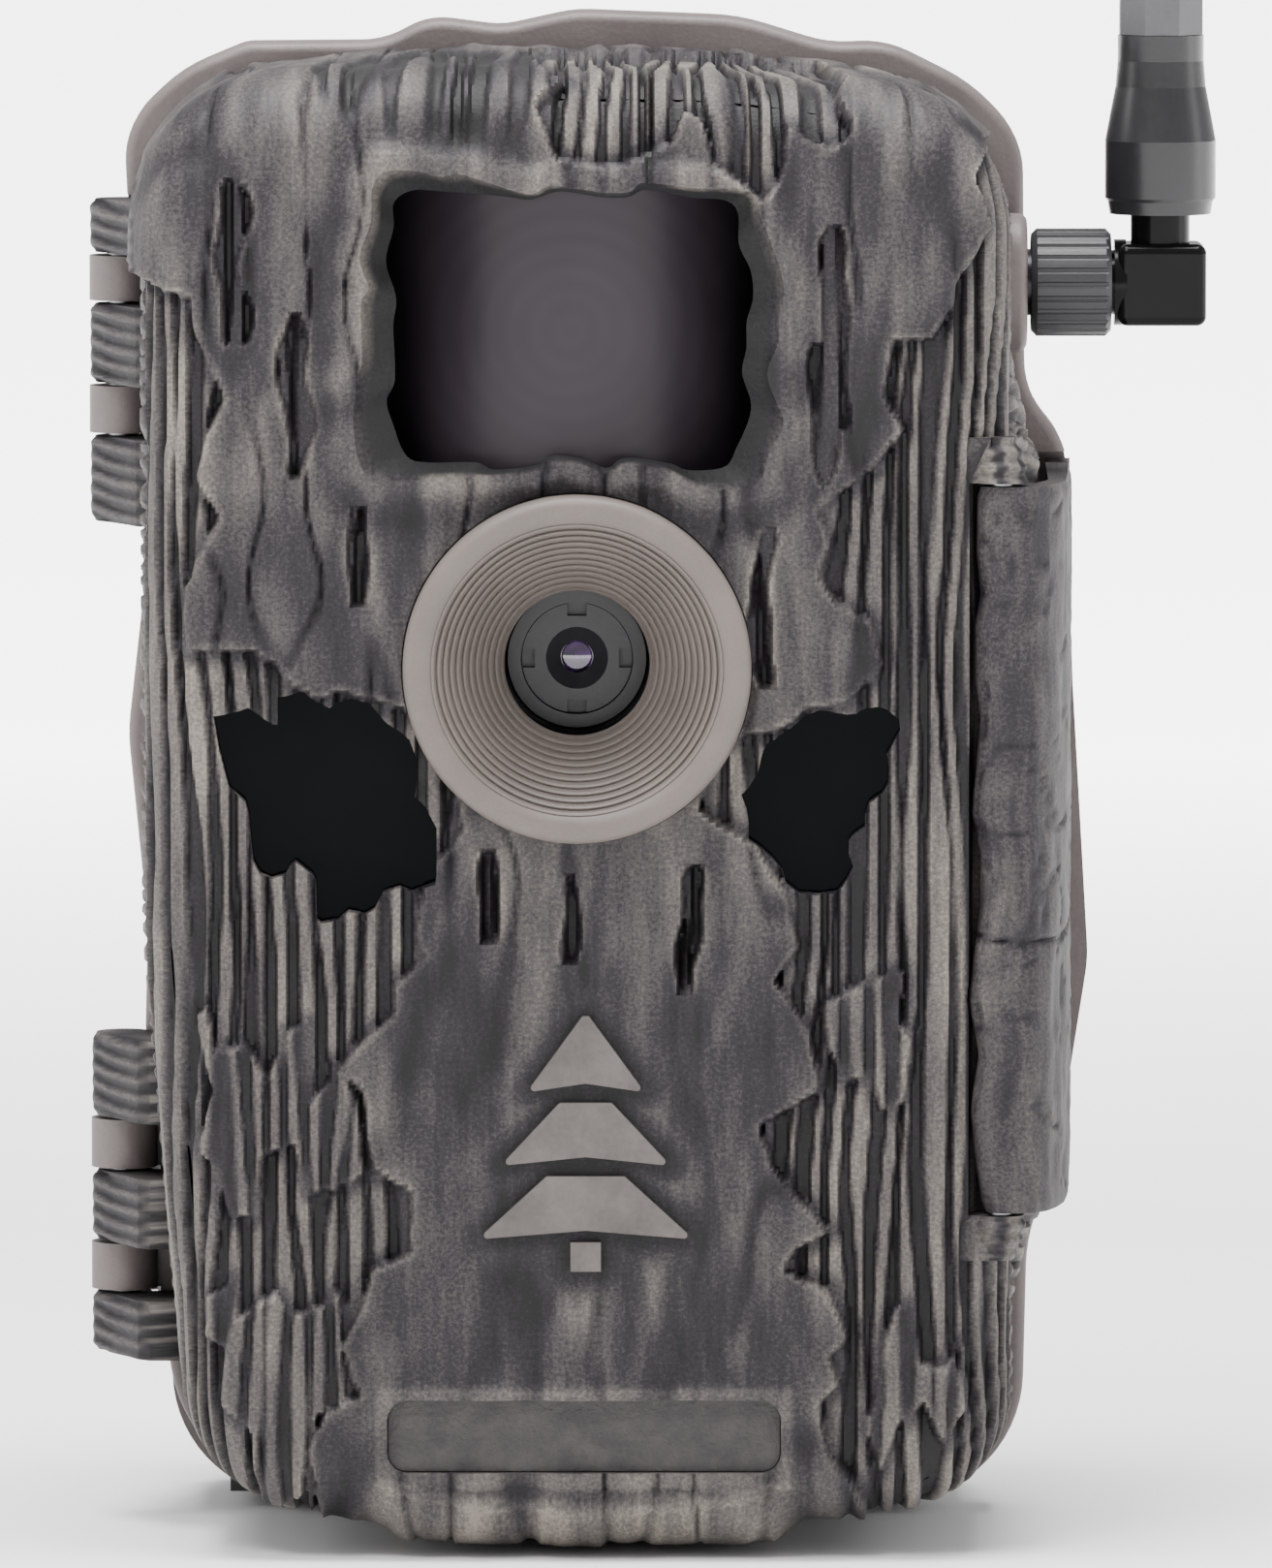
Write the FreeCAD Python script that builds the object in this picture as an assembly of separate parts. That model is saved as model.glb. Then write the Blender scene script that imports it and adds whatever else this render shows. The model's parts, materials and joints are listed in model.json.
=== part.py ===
"""Trail camera with a bark-patterned front half that swings open on a strapped rear half.

Millimetres, +Z up. X is to the right as the lens looks at the viewer, -Y is forward. The origin is under the
lens, on the plane through the underside of the chin and the rear foot pad, which the camera stands on.
One STEP file is written per sub-part to parts/.
"""

import FreeCAD, Part

import math
import os

V = FreeCAD.Vector
X_AXIS, Y_AXIS, Z_AXIS = V(1, 0, 0), V(0, 1, 0), V(0, 0, 1)

# ---------------------------------------------------------------- driving dimensions
WALL = 2.6                # moulded wall of both halves
GAP = 0.3                 # clearance between parts that move past each other
SEAM_Y = -2.0             # plane between the two halves
FRONT_Y = -36.0           # face of the front half
BACK_Y = 24.0             # back of the rear half
RIM_BACK_Y = 7.0          # back of the rear half's wavy rim
FRONT_EDGE_R = 7.0        # rounding of the front half's face edge
PLATE_T = 0.7             # how far the upper bark plates stand proud of the face

LENS_X, LENS_Z = -0.4, 82.8
RING_R, RING_APERTURE_R = 16.0, 6.7
RING_FRONT_Y, RING_THROAT_Y = -39.6, -30.0
RING_STEPS = 11           # anti-glare steps in the ring's funnel
BARREL_FRONT_Y = -25.0

PIR_X, PIR_Z = -1.0, 113.6
PIR_LENS_R = 17.6         # the Fresnel window is a half tube about an upright axis
PIR_LENS_CENTRE_Y = -14.5

HINGE_X, HINGE_Y = -43.0, SEAM_Y
KNUCKLE_R, HINGE_PIN_R = 3.1, 1.25
FRONT_KNUCKLES = [(119.2, 124.2), (107.0, 114.4), (94.0, 102.0), (38.0, 45.8), (26.3, 32.8), (15.8, 21.3)]
REAR_KNUCKLES = [(114.7, 118.9), (102.3, 106.7), (33.1, 37.7), (21.6, 26.0)]
HINGE_PIN_SPANS = [(94.6, 123.6), (16.4, 45.2)]

LATCH_Z = (32.4, 99.4)
LATCH_PIN_Z = (29.4, 102.4)
LATCH_PIN = (38.6, -33.9)  # x, y of the latch's upright pivot
LATCH_PIN_R = 1.0
LATCH_BEAD = (42.8, 2.6)   # x, y of the rear rim's bead that the latch snaps over
LATCH_LIP_R = 3.1         # sweep of the latch's front lip about its pin

ANTENNA_Y, ANTENNA_Z = -14.0, 117.0
ELBOW_X = 53.8            # the antenna's upright axis
WHIP_TIP_Z = 282.0

PANEL_Y = (-6.4, -4.4)    # control panel that closes the front half
REAR_PANEL_Y = (0.6, 2.6)
TRAY_Y = (3.4, 21.0)

CELL_R, CELL_LENGTH = 7.1, 50.2
CELL_PITCH = 14.9
CELL_ROWS = (8.2, 67.6)    # low end of each row of cells
TRAY_TOP = 122.0

BRACKET_BACK_Y = 36.0
STRAP_Z = (79.0, 105.0)
CABLE_Z, CABLE_Y, CABLE_R = 52.0, 30.6, 4.2
INSERT_Z, INSERT_R = 24.0, 2.55
INSERT_Y = (27.6, 35.7)

# Outlines seen from the front, as (x, z, corner radius).
COVER_OUTLINE = [
    (-40.6, 135.0, 13), (-14.0, 137.6, 90), (14.0, 137.4, 90), (39.6, 133.2, 13), (40.0, 4.0, 12),
    (-36.0, 4.0, 13), (-40.6, 58.0, 120),
]
RIM_OUTLINE = [
    (-42.9, 131.0, 8), (-37.4, 136.2, 14), (-31.4, 138.7, 4), (-18.4, 138.8, 10), (-14.4, 141.1, 8),
    (-7.4, 140.2, 8), (-0.6, 141.7, 12), (14.8, 141.1, 20), (23.2, 138.5, 12), (28.6, 138.8, 10),
    (36.6, 134.8, 16), (41.4, 129.8, 9), (41.6, 106.0, 20), (45.6, 101.2, 8), (46.4, 78.0, 30),
    (47.9, 52.0, 14), (45.4, 36.0, 14), (42.0, 26.0, 16), (41.4, 1.2, 15), (-36.6, 1.2, 15),
    (-41.4, 30.0, 30), (-40.8, 56.0, 14), (-42.6, 74.0, 16), (-40.8, 90.0, 14),
]
BODY_OUTLINE = [
    (-38.6, 135.4, 14), (38.4, 135.4, 14), (40.4, 60.0, 120), (38.4, 1.2, 12), (-38.4, 1.2, 12),
    (-39.4, 60.0, 120),
]
IR_LEFT = [
    (-33.8, 78.4, 0.4), (-30.6, 79.1, 0.5), (-28.2, 77.3, 0.2), (-27.9, 80.0, 0.5), (-25.6, 80.6, 0.5),
    (-23.1, 79.0, 1.0), (-20.8, 80.0, 1.5), (-18.4, 78.6, 1.5), (-15.6, 76.2, 1.5), (-15.0, 73.0, 1.5),
    (-15.3, 70.6, 0.6), (-13.2, 68.2, 1.2), (-13.4, 62.6, 0.5), (-18.2, 62.3, 0.6), (-19.4, 60.0, 0.8),
    (-21.6, 60.3, 0.5), (-24.4, 59.0, 0.5), (-24.5, 63.7, 0.5), (-26.6, 64.9, 0.4), (-27.4, 63.4, 0.8),
    (-30.2, 63.6, 0.8), (-30.6, 69.9, 1.0), (-32.6, 71.8, 0.8),
]
IR_RIGHT = [
    (18.9, 76.9, 1.5), (22.0, 79.1, 1.5), (25.2, 78.2, 1.0), (27.0, 79.4, 1.2), (29.7, 77.6, 1.0),
    (28.0, 74.8, 0.8), (28.6, 71.2, 1.0), (26.4, 69.6, 0.8), (26.1, 66.6, 0.6), (24.5, 66.0, 0.4),
    (25.0, 64.0, 0.8), (23.6, 61.4, 0.8), (19.4, 61.6, 1.5), (17.6, 65.2, 1.5), (15.0, 66.8, 0.8),
    (15.3, 69.6, 1.0), (14.6, 71.1, 0.4), (16.4, 73.2, 1.0), (17.0, 75.9, 0.6),
]
PIR_OPENING = [(-17.2, 126.2, 1.5), (15.0, 126.2, 1.5), (15.3, 101.2, 1.8), (-17.0, 101.2, 1.8)]
PIR_RECESS = [(-19.6, 128.0, 2.5), (17.2, 128.0, 2.5), (17.9, 99.8, 2.5), (-19.8, 99.8, 2.5)]
LATCH_EDGE = [  # x, z of the latch's wavy front edge, from its lower end upwards
    (37.0, 32.6), (36.1, 38.4), (35.8, 41.6), (36.6, 47.0), (35.6, 52.0), (36.7, 60.8), (36.7, 65.6),
    (35.9, 69.4), (36.3, 73.4), (36.7, 78.0), (36.2, 81.6), (36.1, 86.4), (36.7, 89.4), (36.3, 93.4),
    (36.4, 99.2),
]
NAMEPLATE = [(-17.9, 15.2, 1.8), (18.4, 15.2, 1.8), (18.4, 8.4, 1.8), (-17.9, 8.4, 1.8)]

# Control panel layout, as seen from the front through the camera (x, z).
LCD_CENTRE, LCD_SIZE = (0.0, 104.0), (44.0, 26.0)
PAD_CENTRE, PAD_STEP = (14.0, 66.0), 10.5
BUTTON_R, BUTTON_TRAVEL = 3.2, 0.6
SWITCH_CENTRE, SWITCH_TRAVEL = (-16.0, 66.0), 3.5
CARD_X, CARD_Z = -14.0, 36.0
PANEL_SCREWS = [(-33.2, 123.8), (32.5, 123.4), (-33.0, 50.0), (33.2, 50.0), (-29.2, 15.2), (32.6, 14.4)]
REAR_PANEL_SCREWS = [(x, z) for x in (-33.9, 33.9) for z in (16.0, 70.0, 116.0)]
BRACKET_SCREWS = [(-16.0, 118.0), (16.0, 118.0), (-16.0, 10.0), (16.0, 10.0)]

# The outline of the upper bark plate, (x, z), from the top left corner down and round.
PLATE_OUTLINE = [
    (-42, 142), (-42, 132), (-40.6, 118), (-35.9, 116.7), (-35.4, 113.1), (-32.8, 107.4), (-34.5, 103.8),
    (-35.4, 100.2), (-33.4, 96.7), (-35.4, 92.7), (-36.6, 90), (-36.3, 84.2), (-30.5, 84.4), (-28.3, 83.3),
    (-27, 81.4), (-24.3, 79.8), (-22.3, 80.5), (-13, 78), (-11, 68), (-14.5, 63.3), (-15.4, 58.4), (-14.5, 56.2),
    (-17.2, 53.8), (-17.6, 50.8), (-22.5, 45.9), (-20.3, 43.3), (-19.4, 36.3), (-15.8, 34.4), (-15.8, 29),
    (-19.4, 27.3), (-20.3, 23.3), (-22.3, 20.1), (-20.7, 15.7), (-23.9, 13.9), (-25.2, 10.3), (-24.3, 4.1),
    (-24, -2), (27, -2), (26.4, 5), (25.1, 7.7), (22.9, 10.3), (22, 14.8), (23.8, 16.6), (22.9, 19.2), (24.7, 21),
    (22.9, 25.5), (18.9, 27.3), (19.8, 29), (22.9, 30.8), (19.8, 34.4), (17.5, 37), (16.6, 40.6), (22, 43.7),
    (21.1, 49.5), (18, 54), (20.2, 57.1), (18.9, 62.4), (16.2, 66.6), (11, 70), (12, 76), (18.4, 77.1), (21.1, 78.9),
    (24.7, 79.8), (27.8, 82.9), (26.9, 86.9), (23.8, 88.7), (22, 91.3), (22.9, 94), (22, 97.4), (26.9, 101.1),
    (29.5, 104.7), (27.8, 108.2), (28.7, 112.7), (32.2, 113.1), (34.4, 116.1), (34.4, 118), (37.6, 123.2),
    (36.2, 127.8), (42, 133), (42, 142),
]
PLATE_SLITS = [  # x, low z, high z and width of the long cracks in the plate
    (-32.1, 112.3, 127.4, 2.0), (-26.1, 100.2, 115.5, 1.7), (23.4, 104.7, 123.2, 2.0), (16.8, 81.1, 95.5, 1.8),
]


# ---------------------------------------------------------------- shape helpers
def box(x, y, z):
    """A block from three (low, high) pairs."""
    return Part.makeBox(x[1] - x[0], y[1] - y[0], z[1] - z[0], V(x[0], y[0], z[0]))


def cylinder_x(r, y, z, x):
    return Part.makeCylinder(r, x[1] - x[0], V(x[0], y, z), X_AXIS)


def cylinder_y(r, x, z, y):
    return Part.makeCylinder(r, y[1] - y[0], V(x, y[0], z), Y_AXIS)


def cylinder_z(r, x, y, z):
    return Part.makeCylinder(r, z[1] - z[0], V(x, y, z[0]), Z_AXIS)


def cone_y(r, x, z, y):
    """A cone whose radius goes from r[0] at y[0] to r[1] at y[1]."""
    return Part.makeCone(r[0], r[1], y[1] - y[0], V(x, y[0], z), Y_AXIS)


def ring_y(r_out, r_in, x, z, y):
    return cylinder_y(r_out, x, z, y).cut(cylinder_y(r_in, x, z, (y[0] - 1, y[1] + 1)))


def fuse(shapes):
    whole = shapes[0].multiFuse(shapes[1:]) if len(shapes) > 1 else shapes[0]
    return whole.removeSplitter()


def group(shapes):
    return Part.makeCompound(shapes)


def rounded_wire(points, place):
    """A closed wire of straight runs joined by tangent arcs. Each point holds (a, b, radius)."""
    n = len(points)
    starts, edges = [], []
    for i, (a, b, r) in enumerate(points):
        here = V(a, b, 0)
        before = V(*points[i - 1][:2], 0) - here
        after = V(*points[(i + 1) % n][:2], 0) - here
        half = before.getAngle(after) / 2
        reach = r / math.tan(half)
        room = 0.48 * min(before.Length, after.Length)
        if reach > room:
            reach, r = room, room * math.tan(half)
        u, w = V(before).normalize(), V(after).normalize()
        middle = (u + w).normalize() * (r / math.sin(half) - r)
        starts.append([here + u * reach, here + middle, here + w * reach])
    for i, (first, middle, last) in enumerate(starts):
        following = starts[(i + 1) % n][0]
        edges.append(Part.Arc(*[place(p.x, p.y) for p in (first, middle, last)]).toShape())
        if (following - last).Length > 1e-6:
            edges.append(Part.LineSegment(place(last.x, last.y), place(following.x, following.y)).toShape())
    return Part.Wire(edges)


def prism_y(points, y):
    """An outline in X, Z carried from y[0] to y[1]."""
    wire = rounded_wire(points, lambda a, b: V(a, y[0], b))
    return Part.Face(wire).extrude(V(0, y[1] - y[0], 0))


def inset_prism_y(points, inset, y):
    """The same outline moved inwards by inset, or outwards where inset is negative."""
    wire = rounded_wire(points, lambda a, b: V(a, y[0], b)).makeOffset2D(-inset)
    return Part.Face(wire).extrude(V(0, y[1] - y[0], 0))


def prism_z(points, z):
    """An outline in X, Y carried from z[0] to z[1]."""
    wire = rounded_wire(points, lambda a, b: V(a, b, z[0]))
    return Part.Face(wire).extrude(V(0, 0, z[1] - z[0]))


def edges_at(shape, y):
    """The edges that lie in the plane of that y."""
    return [e for e in shape.Edges if abs(e.BoundBox.YMin - y) < 1e-4 and abs(e.BoundBox.YMax - y) < 1e-4]


def screw_y(x, z, head_y, length, towards, head_r=2.4, shank_r=1.1):
    """A pan-head screw whose head's underside is at head_y; towards is +1 or -1 along Y."""
    head = (head_y - 1.3 * towards, head_y)
    head = cylinder_y(head_r, x, z, (min(head), max(head)))
    shank = (head_y, head_y + length * towards)
    shank = cylinder_y(shank_r, x, z, (min(shank), max(shank)))
    outer = head_y - 1.3 * towards
    slot_depth = (outer, outer + 0.7 * towards)
    slot_y = (min(slot_depth), max(slot_depth))
    cross = [box((x - 1.5, x + 1.5), slot_y, (z - 0.3, z + 0.3))]
    cross += [box((x - 0.3, x + 0.3), slot_y, (z - 1.5, z + 1.5))]
    return head.fuse(shank).cut(cross[0]).cut(cross[1])


# ---------------------------------------------------------------- front half
def rounded_body(grow=0.0):
    """The front half's block with its rounded face edge, larger all round by grow."""
    body = inset_prism_y(COVER_OUTLINE, -grow, (FRONT_Y - grow, SEAM_Y - GAP))
    return body.makeFillet(FRONT_EDGE_R + grow, edges_at(body, FRONT_Y - grow))


def bark_plate():
    """The upper layer of bark, which stands proud of the face and wraps its edges."""
    corners = [V(x, -60, z) for x, z in PLATE_OUTLINE]
    plate = Part.Face(Part.makePolygon([*corners, corners[0]])).extrude(V(0, 60 - 8.0, 0))
    slits = [prism_y([(x, z1, w), (x + w / 2, (z0 + z1) / 2, 9), (x, z0, w), (x - w / 2, (z0 + z1) / 2, 9)],
                     (-50, -8))
             for x, z0, z1, w in PLATE_SLITS]
    ring_seat = cylinder_y(RING_R + 0.1, LENS_X, LENS_Z, (-60, 0))
    return plate.common(rounded_body(PLATE_T)).cut(group(slits)).cut(ring_seat)


def latch_corner(body):
    """Solid backing behind the latch's pivot, and the two lugs that hold its pin."""
    z0, z1 = LATCH_Z
    backing = body.common(box((31.6, 42.0), (FRONT_Y, -26.5), (z0 - 4.5, z1 + 4.5)))
    spans = [(z0 - 4.5, z0 - GAP), (z1 + GAP, z1 + 4.5)]
    return fuse([backing, *[cylinder_z(2.4, *LATCH_PIN, span) for span in spans]])


def front_envelope():
    """The outside of the front half with its chin bulge and the shoulder under the latch."""
    body = rounded_body()
    chin = prism_z([(-18.0, -9.0, 4), (19.0, -9.0, 4), (17.0, -34.6, 6), (-16.0, -34.6, 6)], (0.0, 9.0))
    latch_shoulder = prism_z(
        [(36.0, -31.2, 1), (41.6, -29.0, 3), (42.8, -20.0, 4), (42.8, SEAM_Y - GAP, 0.5),
         (36.0, SEAM_Y - GAP, 0.5)],
        (LATCH_Z[0] - 4.5, LATCH_Z[1] + 4.5),
    )
    return fuse([body, chin, latch_shoulder])


def knuckle(z, side):
    """One hinge knuckle and its arm; side -1 reaches to the front half, +1 to the rear half."""
    barrel = cylinder_z(KNUCKLE_R, HINGE_X, HINGE_Y, z)
    arm_y = sorted((HINGE_Y + GAP * side, HINGE_Y + 5.2 * side))
    arm = box((HINGE_X - 1.4, HINGE_X + 8.0), arm_y, z)
    return barrel.fuse(arm)


def hinge_clearance(spans):
    """Room for the other half's knuckles."""
    return [cylinder_z(KNUCKLE_R + GAP, HINGE_X, HINGE_Y, (z0 - GAP, z1 + GAP)) for z0, z1 in spans]


def front_cover():
    shell = front_envelope()
    corner = latch_corner(shell)
    cavity = inset_prism_y(COVER_OUTLINE, WALL, (FRONT_Y + WALL, 0.0))
    cavity = cavity.makeFillet(3.0, edges_at(cavity, FRONT_Y + WALL))
    bosses = [cylinder_y(2.6, x, z, (FRONT_Y + 1.0, PANEL_Y[0])) for x, z in PANEL_SCREWS]
    knuckles = fuse([knuckle(z, -1) for z in FRONT_KNUCKLES]).cut(cavity)
    shell = fuse([shell.cut(cavity), corner, *bosses, bark_plate().cut(cavity), knuckles])
    through = (FRONT_Y - 2, FRONT_Y + WALL + 1)
    cuts = [cylinder_y(1.1, x, z, (PANEL_Y[0] - 9.0, 0.0)) for x, z in PANEL_SCREWS]
    cuts += [prism_y(outline, through) for outline in (IR_LEFT, IR_RIGHT, PIR_OPENING)]
    cuts += [cylinder_y(RING_R - 2.4, LENS_X, LENS_Z, through)]
    cuts += [prism_y(PIR_RECESS, (FRONT_Y - 2, FRONT_Y + 1.2))]
    cuts += [prism_y(NAMEPLATE, (FRONT_Y - 2, FRONT_Y + 1.0))]
    cuts += [cylinder_x(3.3, ANTENNA_Y, ANTENNA_Z, (30.0, 45.0))]
    cuts += hinge_clearance(REAR_KNUCKLES)
    cuts += [cylinder_z(HINGE_PIN_R + 0.06, HINGE_X, HINGE_Y, (z0 - 3, z1 + 3)) for z0, z1 in HINGE_PIN_SPANS]
    cuts += [cylinder_z(LATCH_LIP_R + GAP, *LATCH_PIN, (LATCH_Z[0] - GAP, LATCH_Z[1] + GAP))]
    cuts += [cylinder_z(LATCH_PIN_R, *LATCH_PIN, LATCH_PIN_Z)]
    for tool in cuts:
        shell = shell.cut(tool)
    return shell


def lens_ring():
    """The funnel in front of the lens: a smooth outer lip, then fine steps down to the aperture."""
    lip_r = RING_R - 2.5
    profile = [(RING_R, FRONT_Y - 0.05), (RING_R, RING_FRONT_Y + 1.2)]
    profile += [(RING_R - 0.8, RING_FRONT_Y), (lip_r, RING_FRONT_Y + 0.5)]
    step_r = (lip_r - RING_APERTURE_R - 0.4) / RING_STEPS
    step_y = (RING_THROAT_Y - RING_FRONT_Y - 1.6) / RING_STEPS
    for i in range(RING_STEPS):
        r, y = lip_r - step_r * i, RING_FRONT_Y + 0.5 + step_y * i
        profile += [(r - 0.12, y + step_y), (r - step_r, y + step_y)]
    profile += [(RING_APERTURE_R, RING_THROAT_Y - 0.6), (RING_APERTURE_R, RING_THROAT_Y)]
    profile += [(RING_APERTURE_R + 1.6, RING_THROAT_Y)]
    profile += [(RING_R - 2.6, FRONT_Y + 1.6), (RING_R - 2.6, FRONT_Y - 0.05)]
    wire = Part.makePolygon([V(LENS_X + r, y, LENS_Z) for r, y in [*profile, profile[0]]])
    return Part.Face(wire).revolve(V(LENS_X, 0, LENS_Z), Y_AXIS, 360)


def lens_parts():
    """Barrel, notched retaining ring, front glass, seal, holder, image board and sensor, front to back."""
    x, z, y = LENS_X, LENS_Z, BARREL_FRONT_Y
    barrel = ring_y(6.4, 5.2, x, z, (y, y + 7.5)).fuse(ring_y(5.2, 2.2, x, z, (y + 2.2, y + 7.5)))
    retainer = ring_y(5.1, 1.5, x, z, (y + 0.6, y + 2.1))
    retainer = retainer.cut(cone_y((3.0, 1.5), x, z, (y + 0.5, y + 1.7)))
    notches = [box((x - 0.9, x + 0.9), (y, y + 1.4), (z + 3.9, z + 5.6)) for _ in range(4)]
    for i, notch in enumerate(notches):
        notch.rotate(V(x, 0, z), Y_AXIS, 90 * i)
        retainer = retainer.cut(notch)
    glass = Part.makeSphere(4.0, V(x, y + 5.75, z)).common(cylinder_y(1.45, x, z, (y + 1.0, y + 2.15)))
    stack = cylinder_y(2.1, x, z, (y + 2.3, y + 7.0))
    seal = Part.makeTorus(6.9, 0.45, V(x, y + 1.8, z), Y_AXIS)
    holder = fuse([
        ring_y(7.6, 6.5, x, z, (y + 2.6, y + 9.0)),
        box((x - 10.0, x + 10.0), (y + 9.0, y + 12.6), (z - 8.0, z + 8.0)).cut(
            box((x - 9.0, x + 9.0), (y + 9.9, y + 11.9), (z - 6.0, z + 6.0))),
    ])
    holder = holder.cut(cylinder_y(4.0, x, z, (y + 5, y + 14)))
    holder = holder.cut(box((x - 4.2, x + 4.2), (y + 11.8, y + 13), (z - 3.8, z + 3.8)))
    board = box((x - 15.0, x + 15.0), (y + 12.7, y + 14.1), (z - 12.0, z + 12.0))
    sensor = box((x - 3.8, x + 3.8), (y + 12.0, y + 12.6), (z - 3.4, z + 3.4))
    return barrel, retainer, glass, stack, seal, holder, board, sensor


def ir_cut_filter():
    """The night filter's slide inside the lens holder, a frame with its glass, at its day stop."""
    x, z, y = LENS_X, LENS_Z, BARREL_FRONT_Y
    return box((x - 8.6, x + 2.4), (y + 10.2, y + 11.1), (z - 4.4, z + 4.4))


def pir_parts():
    """Curved Fresnel window, its holder, and the sensor can."""
    axis = (PIR_X, PIR_LENS_CENTRE_Y)
    z = (PIR_Z - 14.2, PIR_Z + 14.2)
    tube = cylinder_z(PIR_LENS_R, *axis, z).cut(cylinder_z(PIR_LENS_R - 1.0, *axis, (z[0] - 1, z[1] + 1)))
    lens = tube.common(box((PIR_X - 20, PIR_X + 20), (FRONT_Y, PIR_LENS_CENTRE_Y - 3.0), z))
    base_y = (PIR_LENS_CENTRE_Y - 2.9, PIR_LENS_CENTRE_Y - 1.4)
    holder = box((PIR_X - 19.4, PIR_X + 19.4), base_y, (z[0] - 1.5, z[1] + 1.5))
    caps = [
        box((PIR_X - 19.4, PIR_X + 19.4), (FRONT_Y + WALL + 3.4, base_y[0]), (a, a + 1.2))
        for a in (z[0] - 1.5, z[1] + 0.3)
    ]
    holder = fuse([holder, *caps]).cut(cylinder_y(4.8, PIR_X, PIR_Z, (base_y[0] - 1, base_y[1] + 1)))
    sensor = cylinder_y(4.6, PIR_X, PIR_Z, (base_y[0] - 3.4, base_y[1] + 0.6))
    mouth = box((PIR_X - 2, PIR_X + 2), (base_y[0] - 4, base_y[0] - 3.0), (PIR_Z - 1.5, PIR_Z + 1.5))
    sensor = sensor.cut(mouth)
    return lens, holder, sensor


def ir_windows():
    """The two smoked windows, glued behind the cover's ragged openings."""
    y = (FRONT_Y + WALL + 0.02, FRONT_Y + WALL + 1.6)
    left = box((-35.2, -12.2), y, (58.2, 81.8))
    right = box((13.8, 31.0), y, (60.2, 80.6))
    lens_room = cylinder_y(RING_R - 2.2, LENS_X, LENS_Z, (y[0] - 1, y[1] + 1))
    return left.cut(lens_room), right.cut(lens_room)


def led(x, z, y):
    """A 5 mm infrared lamp that faces forward from its board at y."""
    body = cylinder_y(2.5, x, z, (y - 6.2, y - 1.0))
    dome = Part.makeSphere(2.5, V(x, y - 6.2, z))
    return fuse([body, dome, cylinder_y(2.9, x, z, (y - 1.0, y - 0.02))])


def ir_lamps():
    """Rows of lamps and their two boards."""
    y = FRONT_Y + WALL + 11.4
    left = [(x, z) for z in (62.4, 68.6, 74.8) for x in (-30.4, -24.4, -18.4)]
    right = [(x, z) for z in (64.6, 70.6, 76.6) for x in (18.8, 25.0)]
    boards = [box((-34.6, -15.0), (y, y + 1.2), (58.6, 79.0)), box((15.6, 29.4), (y, y + 1.2), (61.0, 80.0))]
    return [led(x, z, y) for x, z in left + right], boards


def emblem():
    """A plain raised conifer of three flat tiers and a trunk."""
    y = (FRONT_Y - PLATE_T - 0.9, FRONT_Y - PLATE_T - 0.02)
    middle = 0.4
    tiers = [(50.8, 43.8, 0.3, 5.4), (42.8, 37.0, 2.4, 7.8), (36.0, 30.2, 3.6, 9.9)]
    plates = []
    for top, low, narrow, wide in tiers:
        outline = [(middle - narrow, top), (middle + narrow, top), (middle + wide, low), (middle, low + 0.8),
                   (middle - wide, low)]
        plates.append(prism_y([(x, z, 0.3) for x, z in outline], y))
    return group([*plates, box((middle - 1.4, middle + 1.4), y, (27.2, 29.9))])


def nameplate():
    return inset_prism_y(NAMEPLATE, 0.1, (FRONT_Y + 0.2, FRONT_Y + 0.98))


def antenna_pad():
    """The oval pad on the right wall that the antenna's socket comes out of."""
    pad = box((39.72, 41.4), (ANTENNA_Y - 5.0, ANTENNA_Y + 5.0), (ANTENNA_Z - 6.4, ANTENNA_Z + 6.4))
    ends = [(edge, edge.Vertexes[0], edge.Vertexes[-1]) for edge in pad.Edges]
    upright = [edge for edge, first, last in ends
               if abs(first.Z - last.Z) < 1e-6 and abs(first.X - last.X) > 1]
    pad = pad.makeFillet(4.6, upright)
    outer = [e for e in pad.Edges if e.BoundBox.XMin > 41.3]
    pad = pad.makeFillet(0.8, outer)
    return pad.cut(cylinder_x(3.25, ANTENNA_Y, ANTENNA_Z, (38.0, 43.0)))


def sma_jack():
    """Threaded socket with its flange and hex nut inside the wall."""
    thread = cylinder_x(3.1, ANTENNA_Y, ANTENNA_Z, (33.0, 47.0))
    thread = thread.cut(cylinder_x(2.3, ANTENNA_Y, ANTENNA_Z, (42.0, 48.0)))
    grooves = [Part.makeTorus(3.1, 0.16, V(42.2 + 0.7 * i, ANTENNA_Y, ANTENNA_Z), X_AXIS) for i in range(6)]
    pin = cylinder_x(0.6, ANTENNA_Y, ANTENNA_Z, (42.0, 45.0))
    flange = Part.makePolygon([V(34.4, ANTENNA_Y + 4.4 * math.cos(a), ANTENNA_Z + 4.4 * math.sin(a))
                               for a in [math.radians(60 * k) for k in range(7)]])
    flange = Part.Face(flange).extrude(V(2.2, 0, 0))
    return fuse([thread.cut(group(grooves)), flange, pin])


def coupling_nut():
    """The knurled nut that clamps the antenna, with its flutes."""
    nut = cylinder_x(5.0, ANTENNA_Y, ANTENNA_Z, (41.8, 49.2))
    rims = [e for e in nut.Edges if e.BoundBox.XLength < 1e-6]
    nut = nut.makeChamfer(0.5, rims).cut(cylinder_x(3.2, ANTENNA_Y, ANTENNA_Z, (41.0, 50.0)))
    flutes = []
    for k in range(24):
        a = math.radians(15 * k)
        y, z = ANTENNA_Y + 5.1 * math.cos(a), ANTENNA_Z + 5.1 * math.sin(a)
        flutes.append(cylinder_x(0.34, y, z, (42.3, 50.0)))
    return nut.cut(group(flutes))


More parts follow.
